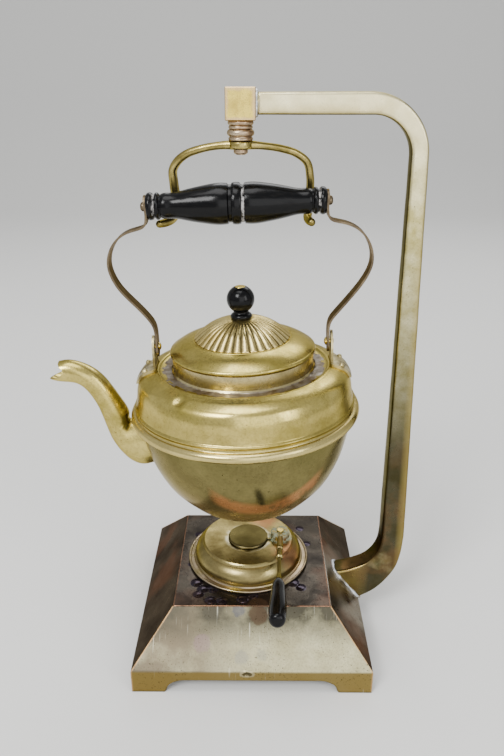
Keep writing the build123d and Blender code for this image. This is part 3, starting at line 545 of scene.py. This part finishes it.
frontLook = {**baseLook, "left": (0.85, "#675b4c"), "top": (0.95, "#47443a"), "skirt": (0.88, "#86713a"),
             "pitRim": (0.5, "#c4bb9a"), "pitFloor": (0.85, "#3f3620"), "scratch": (0.35, "#e6e2cc"),
             # place, radius, share and colour of each stain
             "stains": (((3.9, -52.2, 41.0), 5.0, 0.8, "#4b3c2e"), ((-8.0, -50.2, 43), 3.0, 0.5, "#42465c"),
                        ((-6, -67, 22), 3.4, 0.45, "#85847c"), ((6, -66, 23), 2.4, 0.4, "#87877c"),
                        ((-30, -62, 28), 4.5, 0.3, "#8a6a78"))}
# the sides' dark brass is painted shade, under real tarnish, copper-red patches and rubs
sideLook = {**baseLook, "clean": "#4f4a43", "tarnish": "#34312e", "stain": "#1e1c1a", "edge": "#b8b2ac",
            "cloudMm": 22, "rough": (0.26, 0.42), "lifted": (0.7, "#664a3d"), "cleaned": (0.8, "#aaa496"),
            "smear": (0.7, "#d8d8d2"), "cleanedAt": (62, -16, 27), "smearAt": (62, -11, 29)}
# in mm; half is how far out the skirt stands, top and rise are where the slope ends, arch is half its width
panel = {"half": 72.5, "sheet": 1.2, "top": 48.5, "rise": 44.6, "bend": 15.8, "bendRadius": 0.9, "arch": 52.4,
         "archCorner": 12.0, "archHigh": 9.2, "pit": (-2.8, 14.2), "pitRadius": 1.7, "pitDepth": 0.9,
         "rimHigh": 0.25, "uneven": 0.10}


def seamWear(add, look, where, colour):
    # bright copper line where two panels meet and the tarnish is rubbed off
    off = add("Math", add("Math", *squareXY(add, where), operation="SUBTRACT"), operation="ABSOLUTE")
    line = times(add, add("MapRange", off, 0.0010, 0.0004), worn(add, where, 9))
    return tint(add, colour, line, *look["seam"])


def sideBurn(add, look, where, colour, rough):
    # long copper-red patches where the tarnish has lifted, and a few pale rubs
    lifted = add("MapRange", mottle(add, where, 30, 3.0, 0.5, (1.3, 1.0, 0.5)), 0.50, 0.62)
    colour = tint(add, colour, lifted, *look["lifted"])
    # the right side was cleaned beside the arm when that was soldered on
    cleaned = add("MapRange", mottle(add, where, 24, 3.0, 0.5, (1.4, 1.2, 0.4)), 0.30, 0.50)
    cleaned = times(add, cleaned, spot(add, where, look["cleanedAt"], 18, 24, 14))
    colour = tint(add, colour, cleaned, *look["cleaned"])
    smear = times(add, spot(add, where, look["smearAt"], 5, 9, 9), patches(add, where, 7, 0.5, (1.2, 1, 0.6)))
    return seamWear(add, look, where, tint(add, colour, smear, *look["smear"])), rough, 1.0


def frontWear(add, look, where, colour, rough):
    # golden skirt under a paler slope that dulls to purple-brown at the left and along the top
    high, side = add("SeparateXYZ", where, out="Z"), add("SeparateXYZ", where, out="X")
    left = times(add, add("MapRange", side, 0.004, -0.040), worn(add, where, 26, 0.15, 0.5))
    colour = tint(add, colour, left, *look["left"])
    top = times(add, add("MapRange", high, 0.027, 0.039), worn(add, where, 20, 0.15, 0.5))
    colour = tint(add, colour, top, *look["top"])
    colour = tint(add, colour, add("MapRange", high, 0.0162, 0.0148), *look["skirt"])
    for centre, radius, share, other in look["stains"]:
        colour = tint(add, colour, spot(add, where, centre, radius, 1.4, 2.4), share, other)
    # a small pit in the skirt, pale round its rim: three spots side by side make its oval
    pitX, pitZ = panel["pit"]
    for away, radius, wider, mark in ((2.2, 1.9, 2.185, "pitRim"), (1.6, 1.1, 1.265, "pitFloor")):
        pit, *ends = (spot(add, where, (pitX + x, -72.4, pitZ), size, 0.6, 1.0)
                      for x, size in ((0, wider), (-away, radius), (away, radius)))
        for end in ends:
            pit = add("Math", pit, end, operation="MAXIMUM")
        colour = tint(add, colour, pit, *look[mark])
    # wiping scratches, up and down the slope
    lines = add("MapRange", mottle(add, where, 1.0, 2.0, 0.5, (1.0, 0.03, 0.03)), 0.64, 0.70)
    lines = times(add, lines, add("MapRange", mottle(add, where, 18, 3.0), 0.5, 0.6))
    return seamWear(add, look, where, tint(add, colour, lines, *look["scratch"])), rough, 1.0


def bentPanel(look, pitted):
    # front face of one side, as columns along its length and rows from the table to the top edge
    along = np.linspace(-1, 1, 301)
    arch = np.abs(along) * look["half"]
    flank = look["arch"] - look["archCorner"]
    # arch: flat roof, then a quarter of an ellipse down to the table
    corner = look["archHigh"] * np.sqrt(np.clip(1 - ((arch - flank) / look["archCorner"]) ** 2, 0, 1))
    foot = np.where(arch < flank, look["archHigh"], corner)
    skirtTop = look["bend"] - look["bendRadius"]
    rows = [(look["half"], foot + (skirtTop - foot) * share) for share in (0, *np.linspace(0.08, 0.94, 12))]
    # the bend, as a quadratic run between the two planes
    slope = np.array([look["top"] - look["half"], look["rise"] - look["bend"]])
    slope /= math.hypot(*slope)
    bend = np.array([look["half"], look["bend"]])
    low, high = bend - (0, look["bendRadius"]), bend + slope * look["bendRadius"]
    rows += [low * (1 - t) ** 2 + 2 * bend * t * (1 - t) + high * t ** 2 for t in np.linspace(0, 1, 7)]
    end = np.array([look["top"] + 0.12, look["rise"] - 0.1])
    rows += [high + (end - high) * t for t in np.linspace(0.02, 1, 60)]
    out, up = (np.stack([row[i] + 0 * along for row in rows]) for i in (0, 1))
    points = np.stack([along * out, -out, up], -1)
    # the slope is a little uneven, but not at its seams, its bend or its top edge
    free = np.clip((1 - np.abs(along)) * 20, 0, 1)
    free = free * np.clip((up - 16.5) / 5, 0, 1) * np.clip((43.5 - up) / 4, 0, 1)
    points[..., 1] -= look["uneven"] * lumps(points, 34, 11 + pitted) * free
    if pitted:
        # oval hollow with a low rim, both bell curves of the distance from its middle
        away = np.hypot(points[..., 0] - look["pit"][0], (points[..., 2] - look["pit"][1]) * 1.25)
        away = away / look["pitRadius"]
        points[..., 1] += look["pitDepth"] * np.exp(-(away * 1.3) ** 2)
        points[..., 1] -= look["rimHigh"] * np.exp(-((away - 1.5) / 0.35) ** 2)
    # inner face of the sheet, back down to the table, which closes the section
    inside = look["half"] - look["sheet"]
    inner = ((look["top"] - 1.6, look["rise"] - 1.25), (inside, look["bend"] - 0.5), (inside, foot))
    back = np.stack([np.stack([along * x, -x + 0 * along, z + 0 * along], -1) for x, z in inner])
    return np.concatenate([points, back])


def turnedPanel(points, quarter):
    # the same panel on each side of the square
    turn = quarter * math.pi / 2
    x, y = points[..., 0], points[..., 1]
    return np.stack([x * math.cos(turn) - y * math.sin(turn), x * math.sin(turn) + y * math.cos(turn),
                     points[..., 2]], -1)


frontBrass = agedBrass("rolledSheetBrassRubbed", frontLook, frontWear)
# the sides: real tarnish and patches over painted shade
sideBrass = agedBrass("rolledSheetBrassTarnishedAndShaded", sideLook, sideBurn)
for quarter, side in enumerate(("front", "right", "back", "left")):
    sheetBrass, cadPanel = frontBrass if side == "front" else sideBrass, "base_" + side + "_panel"
    dress(sheetBrass, cadPanel)
    shape = turnedPanel(bentPanel(panel, side == "front"), quarter) / 1000
    skin = gridMesh(side + "PanelSkin", shape, closeColumns=False, closeRows=True)
    place(skin, sheetBrass, "stand", "base_brass", cadPanel)


# the arm: filed bar with softened edges

# the pale top is a painted highlight, the bronze towards the root a painted dark reflection, and the olive
# and dark gold of the narrow faces painted shade; the copper patches are the bar's own colour
armLook = {**baseLook, "clean": "#e6deb0", "tarnish": "#b0a56a", "stain": "#463b24", "edge": "#d8d2b4",
           "cloudMm": 14, "grainMm": 1.0, "grain": 0.25, "speckMm": 1.2, "speckFrom": 0.68, "speck": 0.6,
           "rough": (0.26, 0.38), "waveMm": 16, "wave": 0.00012, "rubbed": (0.5, "#f8edc2"),
           "dark": (0.93, "#262318"), "outer": (0.5, "#a99553"), "narrow": (0.45, "#8a7a44"),
           "inner": (0.93, "#2e2917"), "copper": (0.3, "#7d5a3b")}
# x and z in mm of the bar's outer and inner edges; half its depth at the two heights of halfAt
arm = {"outer": ((1.6, 335.0), (60.7, 335.3)), "outerBend": ((60.7, 303.3), 32.0, 90, 0, 44),
       "outerFoot": ((99.6, 65.0), (98.6, 52.0), (95.9, 40.6), (91.2, 32.2), (83.2, 22.8), (72.6, 15.9)),
       "inner": ((1.6, 324.1), (62.6, 324.1)), "innerBend": ((62.6, 303.3), 20.8, 90, 0, 44),
       "innerFoot": ((85.0, 65.0), (84.1, 57.2), (81.6, 50.8), (77.0, 45.2), (67.6, 40.2), (55.0, 36.9)),
       "corner": 1.9, "half": (7.0, 4.6), "halfAt": (14.8, 337.4), "uneven": 0.06}


def armLightAndShade(add, look, where, colour, rough):
    # painted light and shade: front and back faces painted pale at the top, a painted highlight, and darker
    # to bronze towards the root, a painted dark reflection; the narrow faces are painted dark olive, painted
    # shade
    high = add("SeparateXYZ", where, out="Z")
    colour = tint(add, colour, add("MapRange", high, 0.27, 0.32), *look["rubbed"])
    dark = times(add, add("MapRange", high, 0.27, 0.13), worn(add, where, 34, 0.1, 0.38))
    colour = tint(add, colour, dark, *look["dark"])
    # depth inside the front or back face, whose distance from the middle tapers upwards
    aside = add("Math", add("SeparateXYZ", where, out="Y"), operation="ABSOLUTE")
    inward = add("Math", add("MapRange", high, 0.0148, 0.3374, 0.0070, 0.0046), aside, operation="SUBTRACT")
    inward = add("Math", mottle(add, where, 6), -0.0007, inward, operation="MULTIPLY_ADD")
    narrow = add("MapRange", inward, 0.0000, 0.0008)
    # the inner side of the bend: left of the bar's middle line and under the middle of its top length
    middle = add("MapRange", high, 0.065, 0.303, 0.0923, 0.0881)
    off = add("Math", add("SeparateXYZ", where, out="X"), middle, operation="SUBTRACT")
    inner = times(add, add("MapRange", off, 0.001, -0.001), add("MapRange", high, 0.3305, 0.3290))
    outer = times(add, add("MapRange", off, 0.0012, 0.0052), add("MapRange", high, 0.315, 0.300))
    under = times(add, add("MapRange", high, 0.3300, 0.3245), add("MapRange", off, -0.014, -0.024))
    # painted shade: darker gold on the outer side of the bend and under the top length, olive on the narrow
    # faces, darkest on the inner side of the bend
    colour = tint(add, colour, add("Math", outer, under, operation="MAXIMUM"), *look["outer"])
    colour = tint(add, colour, narrow, *look["narrow"])
    colour = tint(add, colour, times(add, narrow, inner), *look["inner"])
    copper = times(add, patches(add, where, 22, 0.45), add("MapRange", high, 0.16, 0.06))
    return tint(add, colour, copper, *look["copper"]), rough, 1.0


def armEdge(top, bend, foot):
    # one edge of the bar: its top length, the bend, the straight drop and the curved foot
    turn, low = arc(*bend), smoothRun(foot, 40)
    return np.concatenate([np.linspace(*top, 24)[:-1], turn, np.linspace(turn[-1], foot[0], 60)[1:-1], low])


def armSkin(look):
    # a section at each place along the bar, wide from edge to edge and deep as the taper says
    outer = armEdge(look["outer"], look["outerBend"], look["outerFoot"])
    inner = armEdge(look["inner"], look["innerBend"], look["innerFoot"])
    middle, across = (outer + inner) / 2, outer - inner
    wide = np.linalg.norm(across, axis=1)
    across /= wide[:, None]
    half = np.interp(middle[:, 1], look["halfAt"], look["half"])
    # rounded-rectangle section: straight sides and quarter-circle corners
    quarter = np.radians(np.linspace(0, 90, 7))
    corner = look["corner"] * np.stack([np.cos(quarter) - 1, np.sin(quarter) - 1], 1)
    rows = []
    for halfWide, halfDeep, mid, way in zip(wide / 2, half, middle, across):
        turn = corner + (halfWide, halfDeep)
        section = [turn, turn[::-1] * (-1, 1), turn * (-1, -1), turn[::-1] * (1, -1)]
        out, deep = np.split(np.concatenate(section), 2, axis=1)
        rows.append(np.concatenate([mid[0] + way[0] * out, deep, mid[1] + way[1] * out], 1))
    points = np.array(rows)
    points += look["uneven"] * lumps(points, 30, 21)[..., None] * (1, 0, 1)
    # closed ends: one point in the middle of each
    tip, root = points[:1].mean(1, keepdims=True), points[-1:].mean(1, keepdims=True)
    return np.concatenate([0 * points[:1] + tip, points, 0 * points[:1] + root]) / 1000


barBrass = agedBrass("drawnBarBrassFiled", armLook, armLightAndShade)
dress(barBrass, "stand_arm")
place(gridMesh("filedArm", armSkin(arm)), barBrass, "stand", "arm_brass", "stand_arm")


# fittings: block, post, screws, pins and the yoke, which is two bent rods out of one boss

fittingLook = {**baseLook, "clean": "#e0ca76", "tarnish": "#b39a50", "stain": "#5a4725", "edge": "#e4d9b8",
               "cloudMm": 8, "grainMm": 0.8, "speckMm": 1.2, "speckFrom": 0.70, "speck": 0.5,
               "rough": (0.24, 0.36), "waveMm": 4, "wave": 0.00003, "grainHigh": 0.000010}
blockLook = {**fittingLook, "clean": "#dac25e", "tarnish": "#b49c4c", "cloudMm": 10,
             "corner": (0.6, "#cfae90"), "middle": (-0.00625, 0.3294)}  # middle: x and z in metres
# the post's brass is pinkish and duller, the hooks' a brown olive
postLook = {**fittingLook, "clean": "#c4b296", "tarnish": "#94795e", "stain": "#5c4838",
            "rough": (0.26, 0.40)}
hookLook = {**fittingLook, "clean": "#b3a262", "tarnish": "#7a6d3b", "stain": "#453b20", "edge": "#c9c09a",
            "cloudMm": 10}
# x, y, z and radius at each place along a rod, then the boss's section and where it stands
hooks = {
    "left": ((-6.2, 0.3, 309.2, 1.95), (-9.0, 0.3, 309.2, 1.95), (-17.2, 1.3, 308.8, 1.95),
             (-28.6, 3.4, 306.7, 2.05), (-35.7, 5.2, 304.1, 2.15), (-40.5, 6.8, 300.5, 2.3),
             (-43.5, 8.8, 295.9, 2.4), (-43.6, 10.8, 288.1, 2.55), (-42.9, 12.0, 279.5, 2.65),
             (-42.8, 11.4, 273.0, 2.6), (-45.0, 8.9, 269.2, 2.5), (-48.6, 5.4, 267.6, 2.35),
             (-51.6, 2.7, 267.3, 2.1)),
    "right": ((-6.3, 0.3, 309.2, 1.9), (-3.0, 0.3, 309.2, 1.9), (6.3, 2.0, 308.5, 1.9),
              (15.5, 4.2, 307.0, 1.95), (24.0, 6.2, 304.2, 2.0), (29.6, 8.2, 299.6, 2.1),
              (31.6, 9.9, 291.8, 2.2), (31.8, 11.5, 282.0, 2.35), (31.4, 10.6, 274.5, 2.4),
              (30.6, 6.4, 270.6, 2.4), (31.2, 1.5, 269.5, 2.35), (32.2, -3.2, 269.4, 2.15)),
    "boss": ((2.6, 307.2), (5.0, 307.2), (5.7, 307.45), (6.0, 308.1), (6.0, 310.3), (5.7, 310.95),
             (5.0, 311.2), (2.6, 311.2), (2.6, 307.2)), "bossAt": (-6.25, 0.0, 0.0)}


def blockCorners(add, look, where, colour, rough):
    # edges and corners of the block rubbed pinkish
    x, z = (add("Math", add("Math", add("SeparateXYZ", where, out=axis), middle, operation="SUBTRACT"),
                operation="ABSOLUTE") for axis, middle in zip("XZ", look["middle"]))
    edge = add("Math", mottle(add, where, 5), 0.003, add("Math", x, z, operation="MAXIMUM"),
               operation="MULTIPLY_ADD")
    return tint(add, colour, add("MapRange", edge, 0.0072, 0.0088), *look["corner"]), rough, 1.0


def bentHooks(look):
    # the rods thicken a little where they run into the boss, which is turned
    grids = []
    for side in ("left", "right"):
        bar = smoothRun(look[side], 130)
        swell = 1 + 0.35 * np.exp(-((bar[:, 0] - look["bossAt"][0]) / 7.5) ** 2)
        grids.append(rod(bar[:, :3], bar[:, 3] * np.where(bar[:, 2] > 305, swell, 1.0), 24) / 1000)
    return grids + [(turned(np.array(look["boss"]), 48) + look["bossAt"]) / 1000]


dress(agedBrass("filedBrassBlock", blockLook, blockCorners), "arm_block")
dress(agedBrass("turnedBrassPinkish", postLook), "swivel_post", "swivel_nut")
screwBrass = agedBrass("turnedBrassSatin", fittingLook)
dress(screwBrass, "knob_screw", "pivot_screw", "hinge_pin_left", "hinge_pin_right")
hookBrass = agedBrass("drawnRodBrassBent", hookLook)
dress(hookBrass, "yoke")
place(gridMesh("bentYoke", bentHooks(hooks)), hookBrass, "hook", "hook_brass", "yoke")


# the handle: dull brass strip and black turned wood

strapLook = {**baseLook, "clean": "#7c6e58", "tarnish": "#574c3d", "stain": "#3b2f25", "edge": "#b8ac98",
             "cloudMm": 14, "grainMm": 1.0, "grain": 0.4, "speckMm": 1.3, "speckFrom": 0.68, "speck": 0.5,
             "rough": (0.30, 0.44), "waveMm": 8, "wave": 0.00005}
gripLook = {"wood": "#050506", "pore": "#100e0d", "worn": "#a5a2a0", "poreMm": 1.2, "poreDeep": 0.00002,
            "middleMm": -8.8, "ior": 1.4, "shine": 0.25}


def ebonisedWood(name, look):
    # turned hardwood stained black and polished: near black with sharp reflections and faint pores,
    # its grooves rubbed through to a pale filler
    material, add, where = newMaterial(name)
    pores = mottle(add, where, look["poreMm"], 4.0, 0.6, (0.15, 1.0, 1.0))
    colour = tint(add, look["wood"], add("MapRange", pores, 0.5, 0.75), 1, look["pore"])
    off = add("Math", add("SeparateXYZ", where, out="X"), -look["middleMm"] / 1000, operation="ADD")
    ends = between(add, add("Math", off, operation="ABSOLUTE"), 44.5, 45.5, 0.3)
    grooves = add("Math", between(add, off, 3.0, 4.2, 0.3), ends, operation="MAXIMUM")
    rubbed = times(add, grooves, between(add, add("SeparateXYZ", where, out="Z"), 260, 300, 2),
                   add("MapRange", mottle(add, where, 3.0, 4.0, 0.7), 0.46, 0.60))
    colour = tint(add, colour, rubbed, 1, look["worn"])
    rough = add("Math", rubbed, 0.4, add("MapRange", pores, 0.3, 0.8, 0.14, 0.28), operation="MULTIPLY_ADD")
    pits = add("Bump", Height=times(add, pores, look["poreDeep"]), Strength=1.0, Distance=1.0)
    add("OutputMaterial", add("BsdfPrincipled", BaseColor=colour, Roughness=rough, IOR=look["ior"],
                              SpecularIORLevel=look["shine"], Normal=pits))
    return material


dress(ebonisedWood("ebonisedWoodPolished", gripLook), "handle_grip", "lid_knob", "snuffer_grip")
dress(agedBrass("brassStripDull", strapLook), "grip_rod", "bail_strap_left", "bail_strap_right")


# the lamp: crusted brass and a cotton wick

lampLook = {**kettleLook, "clean": "#998c5c", "tarnish": "#726642", "stain": "#393220", "edge": "#c4b993",
            "cloudMm": 16, "grainMm": 1.2, "grain": 0.3, "speckMm": 1.4, "rough": (0.26, 0.40), "waveMm": 10,
            "wave": 0.00004, "cap": (0.8, "#3b3723"), "residue": (0.6, "#cfcbb0"), "crust": (0.8, "#b4c0a8"),
            "rim": (0.75, "#b5a392"), "capAt": (-2.9, 0.8, 60.5), "pivotAt": (18.6, 1.6, 60),
            # place, how soft, how uneven, share and colour of each flush
            "flushes": (((24, -12, 56), 9, 8, 0.5, "#9a5340"), ((8, 22, 58), 7, 8, 0.45, "#9a5340"))}
wickLook = {"cotton": "#cfc4a8", "shade": "#8f8268", "weave": 1400.0, "rough": 0.95}


def lampCrust(add, look, where, colour, rough):
    # darker cap, red flush beside the pivot, white-green crust round the pivot and at the foot of the cap
    colour = tint(add, colour, spot(add, where, look["capAt"], 12.8, 0.5), *look["cap"])
    residue = add("Math", spot(add, where, look["capAt"], 14.4, 1.6, 1.5),
                  spot(add, where, look["capAt"], 12.9, 0.6), operation="SUBTRACT")
    colour = tint(add, colour, times(add, residue, worn(add, where, 6, 0.35, 0.6)), *look["residue"])
    for centre, soft, uneven, share, other in look["flushes"]:
        colour = tint(add, colour, spot(add, where, centre, 5, soft, uneven), share, other)
    crust = times(add, spot(add, where, look["pivotAt"], 6.6, 2.0, 2.4), patches(add, where, 2.4, 0.6))
    colour = tint(add, colour, crust, *look["crust"])
    rim = add("MapRange", add("SeparateXYZ", where, out="Z"), 0.0480, 0.0466)
    colour = tint(add, colour, times(add, rim, worn(add, where, 14, 0.32, 0.6)), *look["rim"])
    rough = add("Math", crust, 0.4, rough, operation="MULTIPLY_ADD")
    return colour, rough, add("MapRange", crust, 0.0, 1.0, 1.0, 0.2)


def braidedCotton(name, look):
    # unbleached cotton braid: matt, with a fine weave
    material, add, where = newMaterial(name)
    weave = add("TexVoronoi", where, Scale=look["weave"], out="Distance")
    add("OutputMaterial", add("BsdfPrincipled", BaseColor=tint(add, look["cotton"], weave, 1, look["shade"]),
                              Roughness=look["rough"]))
    return material


lampBrass = agedBrass("spunLampBrassCrusted", lampLook, lampCrust)
dress(lampBrass, "lamp_cover", "lamp_tank", "wick_tube", "snuffer_cap", "snuffer_lever", "snuffer_ferrule")
dress(braidedCotton("braidedCottonWick", wickLook), "lamp_wick")


# solder: round the neck, at the arm's two ends and round the pivot

# the neck's solder: grey solder whose dull browns are partly painted shade in the recess between collar and
# ridge
solderLook = {"metal": 0.85, "bright": "#938a7d", "dull": "#716759", "brown": "#64543c", "cloudMm": 6.0,
              "lumpMm": 2.0, "lumpHigh": 0.0003}
# fresher solder is near white, the crust powdery grey-green, and the ears are brass with solder run over
freshLook = {**solderLook, "bright": "#e2e5e8", "dull": "#b9bec4", "brown": "#8f8674"}
crustLook = {**solderLook, "bright": "#c3cdb8", "dull": "#93a48c", "brown": "#7b7a55", "metal": 0.1}
earLook = {**solderLook, "bright": "#cdbf8c", "dull": "#93875c", "brown": "#75673c", "cloudMm": 7.0}
neck = {"inner": 42.75, "outer": 49.6, "height": 94.33}
# the path in mm, steps along it, radius and the seed of its lumps
joints = {
    "blockSolder": (((1.7, -4.9, 323.9), (1.7, -4.9, 329.6), (1.7, -4.7, 335.0), (1.7, 0, 335.3),
                     (1.7, 4.7, 335.0), (1.7, 4.9, 329.6), (1.7, 4.7, 323.9), (1.7, 0, 323.8),
                     (1.7, -4.7, 323.9)), 150, 1.0, 51),
    "rootSolder": (((73.0, -6.0, 16.2), (71.6, -7.2, 17.6), (66.5, -7.3, 23.9), (61.0, -7.1, 30.7),
                    (56.8, -6.6, 35.7), (55.1, -4.5, 37.5), (54.8, 0, 37.8), (55.1, 4.5, 37.5),
                    (56.8, 6.6, 35.7), (61.0, 7.1, 30.7), (66.5, 7.3, 23.9), (71.6, 7.2, 17.6)),
                   220, 0.95, 61)}
pivotRing = {"middle": (18.6, 1.6), "radius": 6.1, "height": 59.75, "bead": (110, 0.55, 71)}


def greySolder(name, look):
    # soft solder or crust, run on by hand: lumpy and half dull, browned where flux has burnt; round the neck
    # the browns are partly painted shade
    material, add, where = newMaterial(name)
    clouds = add("MapRange", mottle(add, where, look["cloudMm"]), 0.38, 0.62)
    colour = tint(add, look["bright"], clouds, 1, look["dull"])
    colour = tint(add, colour, add("MapRange", mottle(add, where, 9.0), 0.48, 0.62), 1, look["brown"])
    lumpy = times(add, mottle(add, where, look["lumpMm"], 3.0), look["lumpHigh"])
    add("OutputMaterial", add("BsdfPrincipled", BaseColor=colour, Metallic=look["metal"],
                              Roughness=add("MapRange", clouds, 0.0, 1.0, 0.30, 0.55),
                              Normal=add("Bump", Height=lumpy, Strength=1.0, Distance=1.0)))
    return material


def neckRing(look):
    # lumpy ring between collar and ridge, climbing a little at both
    radius = np.linspace(look["inner"], look["outer"], 22)[:, None]
    turn = np.linspace(0, 2 * math.pi, 480, endpoint=False)[None, :]
    flat = np.stack(np.broadcast_arrays(radius * np.cos(turn), radius * np.sin(turn), 0 * turn), -1)
    climb = 0.7 * np.exp(-(radius - 42.7) / 0.6) + 0.35 * np.exp(-(49.7 - radius) / 0.6)
    rough = 0.75 + 0.45 * lumps(flat, 9, 41) + 0.22 * lumps(flat, 3.2, 42)
    low = np.clip(0.10 * lumps(flat, 5, 43), -0.02, 0.3)
    flat[..., 2] = look["height"] + np.clip(climb * rough, 0, 2) + low
    return hang(flat)


def solderRun(points, steps, radius, seed):
    # hand-run bead of solder along a path, thick and thin by turns
    points = smoothRun(points, steps)
    swell = radius * (1 + 0.28 * lumps(points, 9, seed) + 0.12 * lumps(points, 3, seed + 1))
    grid = rod(points, np.clip(swell, radius * 0.45, radius * 1.7), 14)
    return (grid + 0.06 * lumps(grid, 2.2, seed + 2)[..., None]) / 1000


dress(greySolder("tinnedBrassEar", earLook), "ear_left", "ear_right", "ear_rivets_left", "ear_rivets_right")
place(gridMesh("neckSolder", neckRing(neck)), greySolder("softSolderRunOn", solderLook), "kettle", "solder")
whiteSolder = greySolder("softSolderFresh", freshLook)
for name, bead in joints.items():
    place(gridMesh(name, solderRun(*bead)), whiteSolder, "stand", "solder")
ring = arc(pivotRing["middle"], pivotRing["radius"], 0, 360, 15)
ring = np.concatenate([ring, np.full((15, 1), pivotRing["height"])], 1)
verdigris = greySolder("verdigrisCrust", crustLook)
place(gridMesh("pivotCrust", solderRun(ring, *pivotRing["bead"])), verdigris, "lamp", "verdigris")
